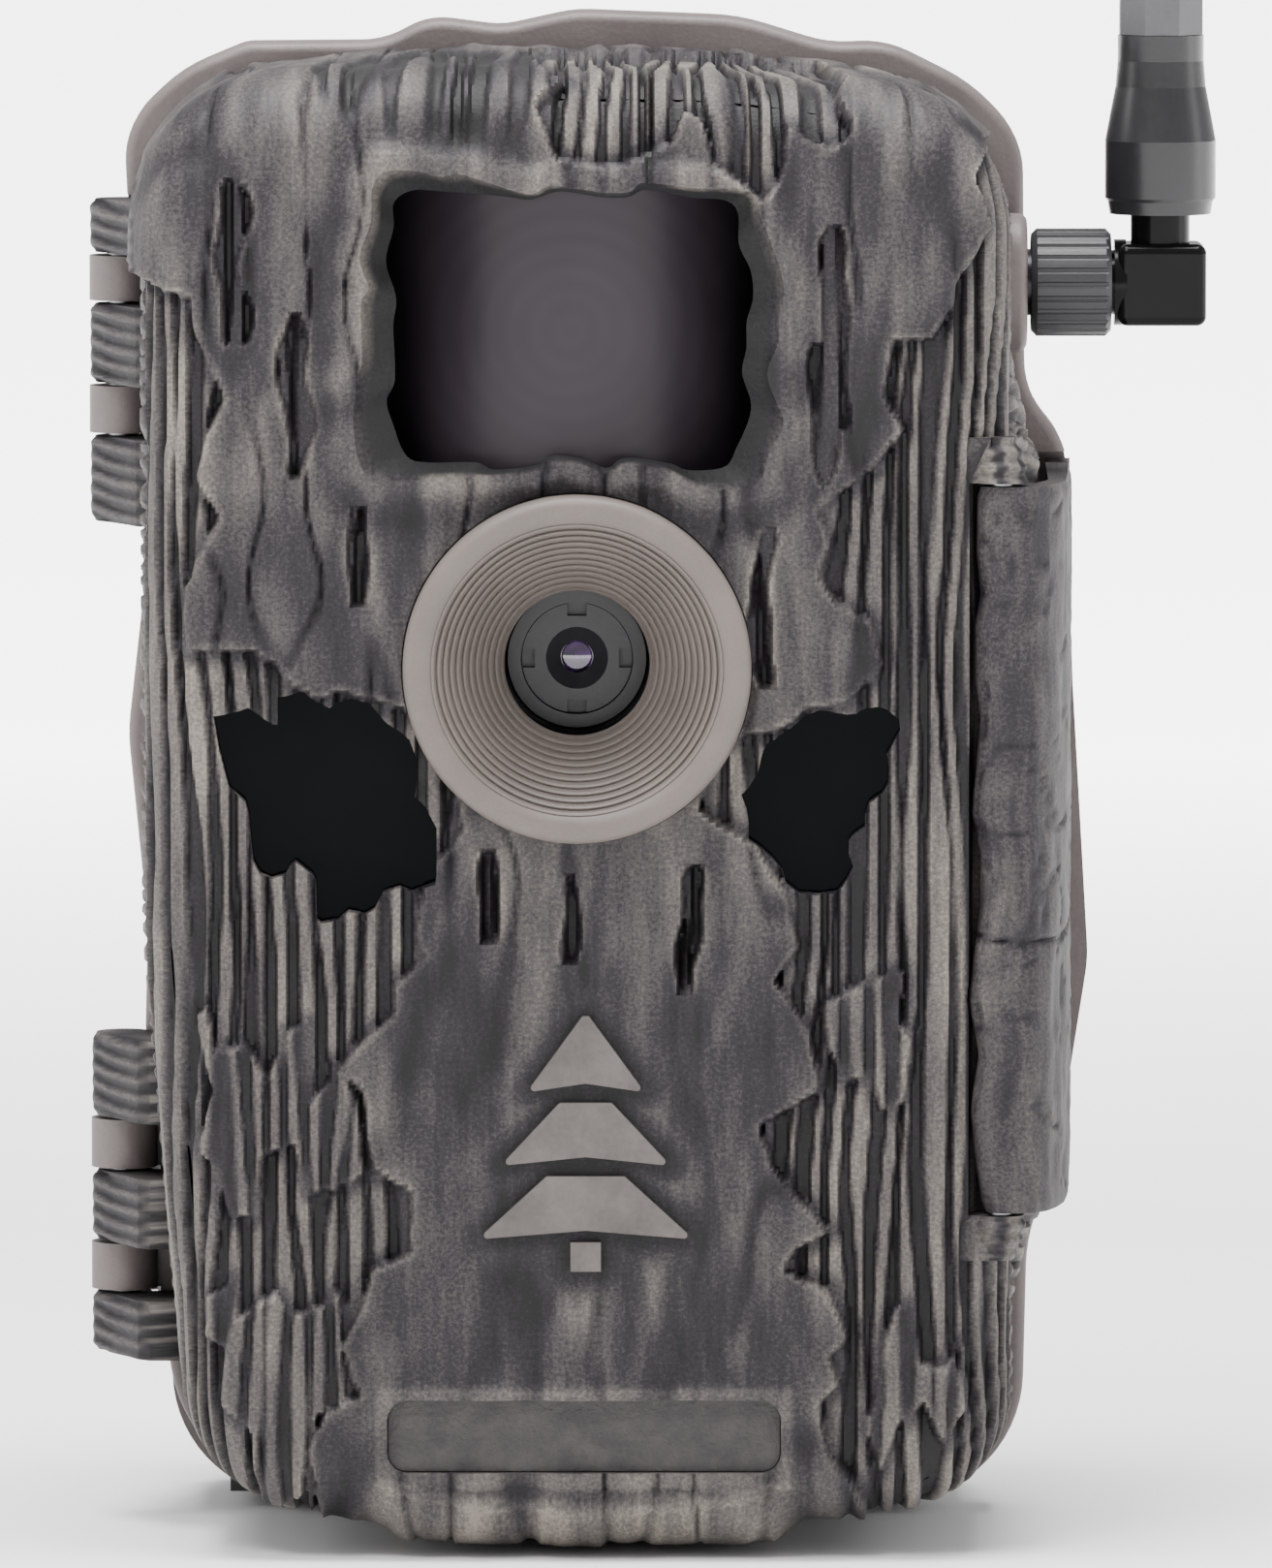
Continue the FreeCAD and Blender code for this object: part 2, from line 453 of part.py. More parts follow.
def antenna_elbow():
    """The right-angled block, with the sleeve into the nut and the neck under the whip."""
    sleeve = cylinder_x(3.0, ANTENNA_Y, ANTENNA_Z, (47.1, 50.6))
    sleeve = sleeve.fuse(cylinder_x(4.0, ANTENNA_Y, ANTENNA_Z, (49.5, 50.6)))
    depth = (ANTENNA_Y - 3.9, ANTENNA_Y + 3.9)
    block = box((ELBOW_X - 4.0, ELBOW_X + 4.2), depth, (ANTENNA_Z - 3.9, ANTENNA_Z + 3.7))
    block = block.makeFillet(0.9, block.Edges)
    neck = cylinder_z(2.75, ELBOW_X, ANTENNA_Y, (ANTENNA_Z + 3.0, ANTENNA_Z + 7.2))
    return fuse([sleeve, block, neck])


def antenna_whip():
    """The moulded boot that narrows to the blade's width, with the collar at its foot."""
    z = ANTENNA_Z
    profile = [(2.8, z + 6.4), (4.7, z + 6.4), (4.9, z + 7.6), (5.15, z + 7.9), (5.15, z + 13.2)]
    profile += [(4.7, z + 15.6), (4.2, z + 18.2), (4.0, z + 20.6), (4.0, z + 23.0)]
    profile += [(0.0, z + 23.0), (0.0, z + 7.3), (2.8, z + 7.3)]
    wire = Part.makePolygon([V(ELBOW_X + r, ANTENNA_Y, h) for r, h in [*profile, profile[0]]])
    return Part.Face(wire).revolve(V(ELBOW_X, ANTENNA_Y, 0), Z_AXIS, 360)


def antenna_blade():
    """The eight-sided blade, drawn in slightly to a rounded tip."""
    low, high = ANTENNA_Z + 23.05, WHIP_TIP_Z

    def section(z, r):
        turns = [math.radians(22.5 + 45 * k) for k in range(9)]
        return Part.makePolygon([V(ELBOW_X + r * math.cos(t), ANTENNA_Y + r * math.sin(t), z) for t in turns])

    return Part.makeLoft([section(low, 4.15), section(high - 6, 3.7), section(high, 2.6)], True, True)


def control_panel():
    panel = inset_prism_y(COVER_OUTLINE, WALL + 0.2, PANEL_Y)
    y = (PANEL_Y[0] - 1, PANEL_Y[1] + 1)
    lcd = box(centred(LCD_CENTRE[0], LCD_SIZE[0]), y, centred(LCD_CENTRE[1], LCD_SIZE[1]))
    buttons = [cylinder_y(BUTTON_R + 0.2, x, z, y) for x, z in button_places().values()]
    slot = box(centred(SWITCH_CENTRE[0], 2 * SWITCH_TRAVEL + 5.4), y, centred(SWITCH_CENTRE[1], 4.0))
    card = box(centred(CARD_X, 25.0), y, centred(CARD_Z, 3.4))
    usb = box(centred(14.0, 9.4), y, centred(36.0, 3.6))
    screws = [cylinder_y(1.3, x, z, y) for x, z in PANEL_SCREWS]
    return panel.cut(group([lcd, *buttons, slot, card, usb, *screws]))


def centred(middle, width):
    return (middle - width / 2, middle + width / 2)


def button_places():
    x, z, s = *PAD_CENTRE, PAD_STEP
    return {"ok": (x, z), "up": (x, z + s), "down": (x, z - s), "left": (x - s, z), "right": (x + s, z)}


def button(x, z):
    """A push button with a flange behind the panel."""
    cap = cylinder_y(BUTTON_R, x, z, (PANEL_Y[0] - 0.1, PANEL_Y[1] + 1.1))
    cap = cap.makeFillet(0.5, edges_at(cap, PANEL_Y[1] + 1.1))
    return cap.fuse(cylinder_y(BUTTON_R + 0.9, x, z, (PANEL_Y[0] - 0.9, PANEL_Y[0] - 0.1)))


def power_switch():
    """The three-position slider: a ribbed thumb piece on a hidden carriage."""
    x, z = SWITCH_CENTRE
    thumb = box(centred(x, 5.0), (PANEL_Y[0] - 0.1, PANEL_Y[1] + 1.3), centred(z, 3.6))
    rib_y = (PANEL_Y[1] + 0.9, PANEL_Y[1] + 2)
    ribs = [box(centred(x + dx, 0.5), rib_y, centred(z, 4)) for dx in (-1.6, -0.5, 0.6, 1.7)]
    flange = box(centred(x, 9.0), (PANEL_Y[0] - 0.9, PANEL_Y[0] - 0.1), centred(z, 5.4))
    return thumb.cut(group(ribs)).fuse(flange)


def main_board():
    """Circuit board behind the control panel."""
    y = (PANEL_Y[0] - 4.2, PANEL_Y[0] - 2.8)
    board = box((-30.0, 30.0), y, (20.0, 124.0))
    through = (y[0] - 1, y[1] + 1)
    holes = [cylinder_y(1.6, x, z, through) for x in (-27, 27) for z in (23.5, 118.5)]
    holes += [cylinder_y(2.9, x, z, through) for x, z in PANEL_SCREWS]
    return board.cut(group(holes)), y


def board_parts():
    """What the main board carries on its panel side and its front side."""
    _, (front, back) = main_board()
    places = button_places().values()
    switches = [box(centred(x, 6.0), (back + 0.02, back + 1.1), centred(z, 6.0)) for x, z in places]
    slide_x, slide_z = SWITCH_CENTRE
    slide_body = box(centred(slide_x, 15.0), (back + 0.02, back + 1.6), centred(slide_z, 6.0))
    lcd_x, lcd_z = LCD_CENTRE
    wide, tall = LCD_SIZE
    display = box(centred(lcd_x, wide + 3), (back + 0.05, PANEL_Y[0] - 0.05), centred(lcd_z, tall + 3))
    window = box(centred(lcd_x, wide - 0.3), (PANEL_Y[0], PANEL_Y[1] - 0.1), centred(lcd_z, tall - 0.3))
    modem = box((-14.0, 16.0), (front - 3.0, front - 0.02), (42.0, 66.0))
    spots = ((-22, 46), (-22, 26), (23, 32))
    cells = [box(centred(x, 6.0), (front - 2.0, front - 0.02), centred(z, 4.0)) for x, z in spots]
    usb = box(centred(14.0, 9.0), (back + 0.02, PANEL_Y[1] - 0.6), centred(36.0, 3.2))
    usb = usb.cut(box(centred(14.0, 8.0), (PANEL_Y[1] - 3.6, PANEL_Y[1]), centred(36.0, 2.2)))
    return switches, slide_body, display, window, modem, cells, usb


def card_socket():
    """A push-push socket that stands on the board and holds the card end-on."""
    _, (front, back) = main_board()
    outer = box(centred(CARD_X, 27.0), (front - 14.0, back + 1.0), centred(CARD_Z, 4.6))
    room = box(centred(CARD_X, 24.6), (front - 12.6, back + 2.0), centred(CARD_Z, 2.6))
    return outer.cut(room)


def main_board_with_slot():
    board, y = main_board()
    slot = box(centred(CARD_X, 27.4), (y[0] - 1, y[1] + 1), centred(CARD_Z, 5.0))
    return board.cut(slot)


def memory_card():
    """The card, seen edge-on from the panel, with its notched corner."""
    _, (front, _back) = main_board()
    card = box(centred(CARD_X, 24.0), (front - 12.0, PANEL_Y[1] + 1.0), centred(CARD_Z, 2.1))
    return card.cut(box((CARD_X + 9.0, CARD_X + 13.0), (front - 13.0, front - 8.0), centred(CARD_Z, 4.0)))


def door_seal():
    """A soft lip round the control panel that meets the rear half's face."""
    outer = inset_prism_y(COVER_OUTLINE, WALL + 0.25, (PANEL_Y[1] + 0.01, SEAM_Y))
    return outer.cut(inset_prism_y(COVER_OUTLINE, WALL + 1.15, (PANEL_Y[1] - 1, SEAM_Y + 1)))


# ---------------------------------------------------------------- latch
def latch_lever():
    """The bark plate that wraps the front right edge. It turns about its pin to free the rear half."""
    px, py = LATCH_PIN
    front_y, reach_y = FRONT_Y - 0.4, SEAM_Y + 7.0
    wrap = [(px - 5.0, front_y, 0.1), (41.6, front_y, 4.0), (45.4, -28.0, 8.0), (46.0, reach_y, 0.8),
            (43.6, reach_y, 0.6), (43.1, -26.0, 6.0), (40.6, py + 2.6, 1.0), (px - 5.0, py + 0.6, 0.1)]
    plate = prism_z(wrap, LATCH_Z)
    low, high = LATCH_Z[0] - 1, LATCH_Z[1] + 1
    wavy = [(0, low), (LATCH_EDGE[0][0], low), *LATCH_EDGE, (LATCH_EDGE[-1][0], high), (0, high)]
    edge = [V(x, -60, z) for x, z in wavy]
    beyond = Part.Face(Part.makePolygon([*edge, edge[0]])).extrude(V(0, 60, 0))
    lip = fuse([cylinder_z(LATCH_LIP_R, px, py, LATCH_Z), box((px, 60), (-60, 20), LATCH_Z)])
    lever = fuse([plate.cut(beyond).common(lip), cylinder_z(1.9, px, py, LATCH_Z)])
    groove = cylinder_z(0.9, *LATCH_BEAD, LATCH_Z)
    return lever.cut(cylinder_z(LATCH_PIN_R + 0.05, px, py, (low, high))).cut(groove)


def latch_pin():
    return cylinder_z(LATCH_PIN_R, *LATCH_PIN, LATCH_PIN_Z)


# ---------------------------------------------------------------- rear half
def rear_rim():
    rim = prism_y(RIM_OUTLINE, (SEAM_Y + GAP, RIM_BACK_Y))
    return rim.makeFillet(0.9, edges_at(rim, SEAM_Y + GAP)).makeFillet(2.0, edges_at(rim, RIM_BACK_Y))


def latch_gap(y):
    """The length of the rear rim that the latch lever takes up, between two depths."""
    return box((42.9, 60.0), y, (LATCH_Z[0] - 1.0, LATCH_Z[1] + 1.0))


def latch_keeper():
    """The strip of the rear rim behind the latch lever."""
    return rear_rim().common(latch_gap((SEAM_Y + 7.0 + GAP, RIM_BACK_Y + 1.0)))


def rear_housing():
    rim = rear_rim()
    body = prism_y(BODY_OUTLINE, (SEAM_Y + 3, BACK_Y))
    body = body.makeFillet(6.0, edges_at(body, BACK_Y))
    places = [(x, y) for x in (-39.7, 39.7) for y in (9.0, 13.0)]
    side_ribs = [box((x - 1.1, x + 1.1), (y, y + 1.6), (20.0, 118.0)) for x, y in places]
    feet = [cylinder_z(1.2, x, 0.2, (0.0, 4.0)) for x in (-22.3, 22.3)]
    feet += [box((-6.0, 6.0), (-1.4, 2.4), (0.0, 2.0))]
    shell = fuse([rim, body, *side_ribs, *feet])
    cavity = inset_prism_y(BODY_OUTLINE, WALL, (-3.0, BACK_Y - WALL))
    knuckles = fuse([knuckle(z, 1) for z in REAR_KNUCKLES]).cut(cavity)
    cavity = cavity.makeFillet(2.5, edges_at(cavity, BACK_Y - WALL))
    bosses = [cylinder_y(2.2, x, z, (REAR_PANEL_Y[1], BACK_Y - 1)) for x, z in REAR_PANEL_SCREWS]
    bead = cylinder_z(0.5, *LATCH_BEAD, (LATCH_Z[0] + 10, LATCH_Z[1] - 10))
    shell = shell.cut(cavity).cut(latch_gap((-3.0, RIM_BACK_Y + 1.0)))
    for tool in hinge_clearance(FRONT_KNUCKLES):
        shell = shell.cut(tool)
    shell = fuse([shell, *bosses, bead, knuckles])
    cuts = [box((-33.6, 33.6), (TRAY_Y[0] - 0.2, BACK_Y - WALL), (-2.0, 8.2))]
    cuts += [cylinder_y(1.1, x, z, (0.0, 12.0)) for x, z in REAR_PANEL_SCREWS]
    cuts += [cylinder_y(1.2, x, z, (BACK_Y - WALL - 1, BACK_Y + 1)) for x, z in BRACKET_SCREWS]
    cuts += [cylinder_z(HINGE_PIN_R, HINGE_X, HINGE_Y, (z0 - 3, z1 + 3)) for z0, z1 in HINGE_PIN_SPANS]
    for tool in cuts:
        shell = shell.cut(tool)
    return shell


def rear_panel():
    """The plate that covers the battery bay, seen when the front half is open."""
    panel = inset_prism_y(BODY_OUTLINE, WALL + 0.2, (REAR_PANEL_Y[0], REAR_PANEL_Y[1] - 0.02))
    rib_y = (REAR_PANEL_Y[0] - 0.6, REAR_PANEL_Y[0])
    ribs = [box((x - 0.6, x + 0.6), rib_y, (14.0, 112.0)) for x in (-21, -7, 7, 21)]
    return fuse([panel, *ribs]).cut(group([cylinder_y(1.3, x, z, (-3, 6)) for x, z in REAR_PANEL_SCREWS]))


def hinge_pins():
    return [cylinder_z(HINGE_PIN_R, HINGE_X, HINGE_Y, z) for z in HINGE_PIN_SPANS]


def battery_tray():
    """The tray that slides out of the bottom, with two rows of four bays."""
    y0, y1 = TRAY_Y
    half = 2 * CELL_PITCH + 1.6
    cap = box((-33.2, 33.2), (y0, y1 + 0.1), (1.5, 4.4))
    back = box((-half, half), (y1 - 1.4, y1), (4.4, TRAY_TOP))
    sides = [box((a, a + 1.4), (y0 + 1.0, y1), (4.4, TRAY_TOP)) for a in (-half, half - 1.4)]
    shelves = [box((-half, half), (y0 + 1.0, y1), z) for z in ((61.6, 63.4), (TRAY_TOP - 1.6, TRAY_TOP))]
    dividers = [box((x - 0.35, x + 0.35), (y1 - 6.0, y1), z)
                for x in (-CELL_PITCH, 0.0, CELL_PITCH) for z in ((4.4, 61.6), (63.4, TRAY_TOP - 1.6))]
    grip = box((-12.0, 12.0), (y0 + 9.0, y1 + 1.0), (0.0, 3.0))
    return fuse([cap, back, *sides, *shelves, *dividers]).cut(grip)


def battery_places():
    """Centre x and low end z of each cell, with the end that its positive tip points to."""
    columns = [(-1.5 + k) * CELL_PITCH for k in range(4)]
    return [(x, z, 1 if (k + row) % 2 else -1)
            for row, z in enumerate(CELL_ROWS) for k, x in enumerate(columns)]


def battery_cells():
    y = TRAY_Y[1] - 1.5 - CELL_R
    cells = []
    for x, z, up in battery_places():
        ends = (z, z + CELL_LENGTH)
        body = (ends[0], ends[1] - 1.2) if up > 0 else (ends[0] + 1.2, ends[1])
        cells.append(cylinder_z(CELL_R, x, y, body).fuse(cylinder_z(2.7, x, y, ends)))
    return cells


def battery_contacts():
    """A stepped spring pad under each cell and a plate over it."""
    y = TRAY_Y[1] - 1.5 - CELL_R
    pads = []
    for x, z, _ in battery_places():
        top = z + CELL_LENGTH + 0.05
        foot = cylinder_z(5.0, x, y, (z - 3.7, z - 3.1))
        coil = [Part.makeTorus(4.2 - 0.3 * k, 0.4, V(x, y, z - 2.72 + 0.7 * k), Z_AXIS) for k in range(4)]
        pads += [foot.multiFuse(coil), box(centred(x, 9.0), centred(y, 9.0), (top, top + 0.6))]
    return pads


def tree_bracket():
    """The screwed-on back: two toothed uprights with strap slots and cable holes, and the tripod boss."""
    face_y = BACK_Y + 2.2
    plate = box((-31.0, 31.0), (BACK_Y + 0.02, face_y), (4.0, 126.0))
    heights = [14.0 + 6.8 * k for k in range(16)]
    notches = [[(BRACKET_BACK_Y + 0.1, z - 2.6), (BRACKET_BACK_Y - 2.5, z), (BRACKET_BACK_Y + 0.1, z + 2.6)]
               for z in heights if abs(z - CABLE_Z) > CABLE_R + 2.8]
    uprights = [box((x, x + 8.0), (face_y, BRACKET_BACK_Y), (0.0, 122.0)) for x in (-29.5, 21.5)]
    bracket = fuse([plate, *uprights])
    for notch in notches:
        corners = [V(-40, y, z) for y, z in notch]
        bracket = bracket.cut(Part.Face(Part.makePolygon([*corners, corners[0]])).extrude(V(80, 0, 0)))
    boss = cylinder_y(6.0, 0.0, INSERT_Z, (face_y, BRACKET_BACK_Y - 0.3))
    braces = [box((-22.0, 22.0), (face_y, face_y + depth), (z - 1.1, z + 1.1))
              for z, depth in ((INSERT_Z, 6.5), (40.0, 3.0), (70.0, 3.0), (112.0, 3.0))]
    cuts = [box((-40.0, 40.0), (face_y, face_y + 5.0), STRAP_Z)]
    cuts += [cylinder_x(CABLE_R, CABLE_Y, CABLE_Z, (-40.0, 40.0))]
    cuts += [cylinder_y(4.02, 0.0, INSERT_Z, (INSERT_Y[0] - 0.05, BRACKET_BACK_Y))]
    cuts += [cylinder_y(1.3, x, z, (BACK_Y - 1, face_y + 1)) for x, z in BRACKET_SCREWS]
    return fuse([bracket, boss, *braces]).cut(group(cuts))


def tripod_insert():
    insert = cylinder_y(4.0, 0.0, INSERT_Z, INSERT_Y)
    return insert.cut(cylinder_y(INSERT_R, 0.0, INSERT_Z, (INSERT_Y[0] + 0.9, INSERT_Y[1] + 1)))


# ---------------------------------------------------------------- output
def save(name, shape):
    if isinstance(shape, list):
        shape = group(shape)
    for solid in shape.Solids:
        if not solid.isValid() or solid.Volume <= 0:
            print("check", name, "valid", solid.isValid(), "volume", round(solid.Volume, 3))
    shape.exportStep(os.path.join("parts", name + ".step"))


def main():
    os.makedirs("parts", exist_ok=True)
    barrel, retainer, glass, stack, seal, holder, image_board, image_sensor = lens_parts()
    pir_lens, pir_holder, pir_sensor = pir_parts()
    window_left, window_right = ir_windows()
    lamps, lamp_boards = ir_lamps()
    switches, slide_body, display, lcd_window, modem, cells, usb = board_parts()
    nodes = {
        "front_cover": front_cover(), "emblem": emblem(), "nameplate": nameplate(), "lens_ring": lens_ring(),
        "lens_barrel": barrel, "lens_retainer": retainer, "lens_glass": glass, "lens_stack": stack,
        "lens_seal": seal, "lens_holder": holder, "image_board": image_board, "image_sensor": image_sensor,
        "ir_cut_filter": ir_cut_filter(),
        "pir_lens": pir_lens, "pir_holder": pir_holder, "pir_sensor": pir_sensor,
        "ir_window_left": window_left, "ir_window_right": window_right,
        "ir_lamps": lamps, "ir_lamp_boards": lamp_boards,
        "antenna_pad": antenna_pad(), "sma_jack": sma_jack(), "coupling_nut": coupling_nut(),
        "antenna_elbow": antenna_elbow(), "antenna_boot": antenna_whip(), "antenna_blade": antenna_blade(),
        "control_panel": control_panel(), "door_seal": door_seal(),
        "lcd_display": display, "lcd_window": lcd_window,
        "main_board": main_board_with_slot(), "tact_switches": switches, "slide_switch_body": slide_body,
        "modem_module": modem, "board_components": cells, "usb_socket": usb, "card_socket": card_socket(),
        "memory_card": memory_card(), "power_switch": power_switch(),
        "panel_screws": [screw_y(x, z, PANEL_Y[1] + 0.02, 9.0, -1) for x, z in PANEL_SCREWS],
        "latch_lever": latch_lever(), "latch_pin": latch_pin(),
        "rear_housing": rear_housing(), "latch_keeper": latch_keeper(),
        "rear_panel": rear_panel(), "hinge_pins": hinge_pins(),
        "rear_panel_screws": [screw_y(x, z, REAR_PANEL_Y[0] - 0.02, 8.0, 1, 1.9)
                              for x, z in REAR_PANEL_SCREWS],
        "tree_bracket": tree_bracket(), "tripod_insert": tripod_insert(),
        "bracket_screws": [screw_y(x, z, BACK_Y + 2.22, 4.4, -1) for x, z in BRACKET_SCREWS],
        "battery_tray": battery_tray(), "battery_cells": battery_cells(),
        "battery_contacts": battery_contacts(),
    }
    for name, (x, z) in button_places().items():
        nodes["button_" + name] = button(x, z)
    for name, shape in nodes.items():
        save(name, shape)
    print(len(nodes), "nodes")


main()
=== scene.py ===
"""Looks of the bark-patterned trail camera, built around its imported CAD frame.

Shapes are worked out in millimetres in the frame's axes (X right, -Y forward, Z up) and scaled to metres
when a mesh is made. The bark is one relief function of two coordinates: across and up, measured on the
front half's skin as if its face, rounded edge and side walls were unrolled flat.
"""

import json
import math

import bpy
import numpy as np
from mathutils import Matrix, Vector

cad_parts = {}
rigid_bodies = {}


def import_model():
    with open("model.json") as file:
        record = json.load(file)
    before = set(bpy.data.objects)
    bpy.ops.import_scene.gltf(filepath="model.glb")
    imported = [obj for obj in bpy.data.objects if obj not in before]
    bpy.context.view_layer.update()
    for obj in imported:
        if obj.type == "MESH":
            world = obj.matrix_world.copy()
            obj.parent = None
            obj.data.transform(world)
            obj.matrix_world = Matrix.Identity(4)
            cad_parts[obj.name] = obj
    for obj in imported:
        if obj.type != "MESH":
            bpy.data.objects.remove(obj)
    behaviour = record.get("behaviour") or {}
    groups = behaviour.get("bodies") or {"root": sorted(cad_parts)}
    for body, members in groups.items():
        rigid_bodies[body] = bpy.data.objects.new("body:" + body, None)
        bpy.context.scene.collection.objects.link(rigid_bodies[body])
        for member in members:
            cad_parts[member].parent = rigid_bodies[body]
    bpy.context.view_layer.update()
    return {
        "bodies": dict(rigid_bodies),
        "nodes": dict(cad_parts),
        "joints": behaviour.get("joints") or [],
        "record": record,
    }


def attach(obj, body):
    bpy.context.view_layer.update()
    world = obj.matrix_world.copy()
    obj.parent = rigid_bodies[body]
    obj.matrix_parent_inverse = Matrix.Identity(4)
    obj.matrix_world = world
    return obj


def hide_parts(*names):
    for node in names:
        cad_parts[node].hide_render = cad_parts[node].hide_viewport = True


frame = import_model()
NODES = frame["nodes"]

# ---- dimensions shared with the CAD, in mm
FACE_Y, SEAM_Y, EDGE_R, WALL = -36.0, -2.3, 7.0, 2.6
COVER = [
    (-40.6, 135.0, 13), (-14.0, 137.6, 90), (14.0, 137.4, 90), (39.6, 133.2, 13), (40.0, 4.0, 12),
    (-36.0, 4.0, 13), (-40.6, 58.0, 120),
]
LENS_X, LENS_Z = -0.4, 82.8
RING_SEAT_R, RING_SEAT_Y = 16.15, -36.05
LENS_HOLE_R = 13.6
RECESS_X, RECESS_Z, RECESS_CORNER = (-17.9, 18.4), (8.4, 15.2), 1.9  # the nameplate's
HINGE_X, HINGE_Y = -43.0, -2.0
KNUCKLE_SHIFT = (0.6, -1.4)  # from the hinge's axis to the middle of a knuckle's outline
KNUCKLE_R, POCKET_R, POCKET_PLAY = 3.1, 3.4, 0.3
RIB_PITCH, RIB_TURN = 1.55, 0.6  # the knuckles' ribs: spacing in mm, and where round the barrel they rise
FRONT_KNUCKLES = [(119.2, 124.2), (107.0, 114.4), (94.0, 102.0), (38.0, 45.8), (26.3, 32.8), (15.8, 21.3)]
REAR_KNUCKLES = [(114.7, 118.9), (102.3, 106.7), (33.1, 37.7), (21.6, 26.0)]
LATCH_Z = (32.4, 99.4)
LATCH_PIN = (38.6, -33.9)
LATCH_PLAY, LUG_LENGTH = 0.3, 4.5
ANTENNA_Y, ANTENNA_Z = -14.0, 117.0
JACK_HOLE_R = 3.3

# Outlines on the face, (x, z).
UPPER_PLATE = [
    (-75, 175), (-75, 126), (-44, 119), (-40.3, 118), (-35.9, 116.7), (-35.4, 113.1), (-32.8, 107.4),
    (-34.5, 103.8), (-35.4, 100.2), (-33.4, 96.7), (-35.4, 92.7), (-36.6, 90), (-36.3, 84.2),
    (-30.5, 84.4), (-28.3, 83.3), (-27, 81.4), (-24.3, 79.8), (-22.3, 80.5), (-13, 78), (-11, 68),
    (-14.5, 63.3), (-15.4, 58.4), (-14.5, 56.2), (-17.2, 53.8), (-17.6, 50.8), (-22.5, 45.9),
    (-20.3, 43.3), (-19.4, 36.3), (-15.8, 34.4), (-15.8, 29), (-19.4, 27.3), (-20.3, 23.3),
    (-22.3, 20.1), (-20.7, 15.7), (-23.9, 13.9), (-25.2, 10.3), (-24.3, 4.1), (-24, -40), (27, -40),
    (26.4, 5), (25.1, 7.7), (22.9, 10.3), (22, 14.8), (23.8, 16.6), (22.9, 19.2), (24.7, 21),
    (22.9, 25.5), (18.9, 27.3), (19.8, 29), (22.9, 30.8), (19.8, 34.4), (17.5, 37), (16.6, 40.6),
    (22, 43.7), (21.1, 49.5), (18, 54), (20.2, 57.1), (18.9, 62.4), (16.2, 66.6), (11, 70), (12, 76),
    (18.4, 77.1), (21.1, 78.9), (24.7, 79.8), (27.8, 82.9), (26.9, 86.9), (23.8, 88.7), (22, 91.3),
    (22.9, 94), (22, 97.4), (26.9, 101.1), (29.5, 104.7), (27.8, 108.2), (28.7, 112.7), (32.2, 113.1),
    (34.4, 116.1), (34.4, 118), (37.6, 123.2), (36.2, 127.8), (40, 133), (75, 160), (75, 175),
]
SLITS = [  # x, low z, high z, half width
    (-32.1, 112.3, 127.4, 1.0), (-26.1, 100.2, 115.5, 0.85), (23.4, 104.7, 123.2, 1.0),
    (16.8, 81.1, 95.5, 0.85), (-20.9, 88.6, 97.6, 0.7), (21.9, 99.6, 112.6, 0.7),
    (-0.8, 55.6, 63.5, 0.5), (-8.5, 57.5, 66.0, 0.6), (9.8, 52.8, 64.5, 0.7),
]
PATCHES = [  # small plates on the lower layer
    [
        (-35.9, 51.0), (-34.3, 51.4), (-33.6, 47.6), (-30.6, 48.2), (-29.0, 45.4), (-27.0, 49.4),
        (-25.2, 50.0), (-24.9, 42.8), (-22.4, 46.2), (-20.3, 43.0), (-20.0, 36.2), (-21.6, 34.8),
        (-25.0, 34.2), (-26.6, 38.8), (-29.4, 37.4), (-30.0, 32.0), (-32.8, 32.2), (-33.6, 36.2),
        (-35.4, 38.4), (-34.0, 43.6),
    ],
    [
        (-34.6, 24.6), (-32.0, 26.4), (-31.4, 23.0), (-28.2, 25.2), (-26.2, 23.2), (-23.6, 24.0),
        (-22.2, 25.4), (-20.4, 22.4), (-21.6, 19.4), (-20.9, 15.6), (-24.4, 13.4), (-25.4, 6.0),
        (-27.6, 4.0), (-30.2, 3.0), (-30.6, 12.0), (-33.4, 14.6), (-33.0, 19.6), (-34.8, 21.2),
    ],
    [
        (22.0, 51.4), (24.2, 53.0), (26.4, 53.8), (28.0, 54.6), (29.6, 54.8), (29.2, 50.4), (30.4, 48.6),
        (29.6, 42.6), (27.6, 41.8), (26.8, 45.0), (24.4, 44.4), (22.6, 47.6),
    ],
    [
        (28.9, 23.8), (30.6, 24.2), (31.4, 18.6), (33.4, 18.2), (34.6, 20.4), (35.4, 14.2), (33.4, 10.4),
        (31.4, 14.6), (29.0, 12.2), (27.6, 8.4), (26.4, 12.4), (27.4, 18.4),
    ],
]
TOP_NOTCHES = [  # bare wood that reaches into the upper plate from the top edge
    [
        (-4.4, 160), (-3.8, 139.8), (-1.4, 137.4), (-3.9, 134.0), (-2.2, 129.6), (3.4, 128.9),
        (8.0, 131.0), (9.2, 133.9), (11.2, 133.0), (12.2, 129.0), (14.4, 127.8), (16.6, 125.6),
        (17.9, 127.6), (18.9, 132.6), (21.2, 131.4), (22.8, 130.6), (24.6, 132.0), (23.4, 136.0),
        (24.6, 139.6), (25.8, 160),
    ],
]
RIBBED = [(-27, 160), (-27, 140), (-25, 134), (-19, 130), (-8, 129.4), (-1, 131), (-2, 160)]
EMBLEM_PARTS = [
    [(0.4 - narrow, top), (0.4 + narrow, top), (0.4 + wide, low), (0.4, low + 0.8), (0.4 - wide, low)]
    for top, low, narrow, wide in ((50.8, 43.8, 0.3, 5.4), (42.8, 37.0, 2.4, 7.8), (36.0, 30.2, 3.6, 9.9))
] + [[(-1.0, 27.2), (1.8, 27.2), (1.8, 29.9), (-1.0, 29.9)]]
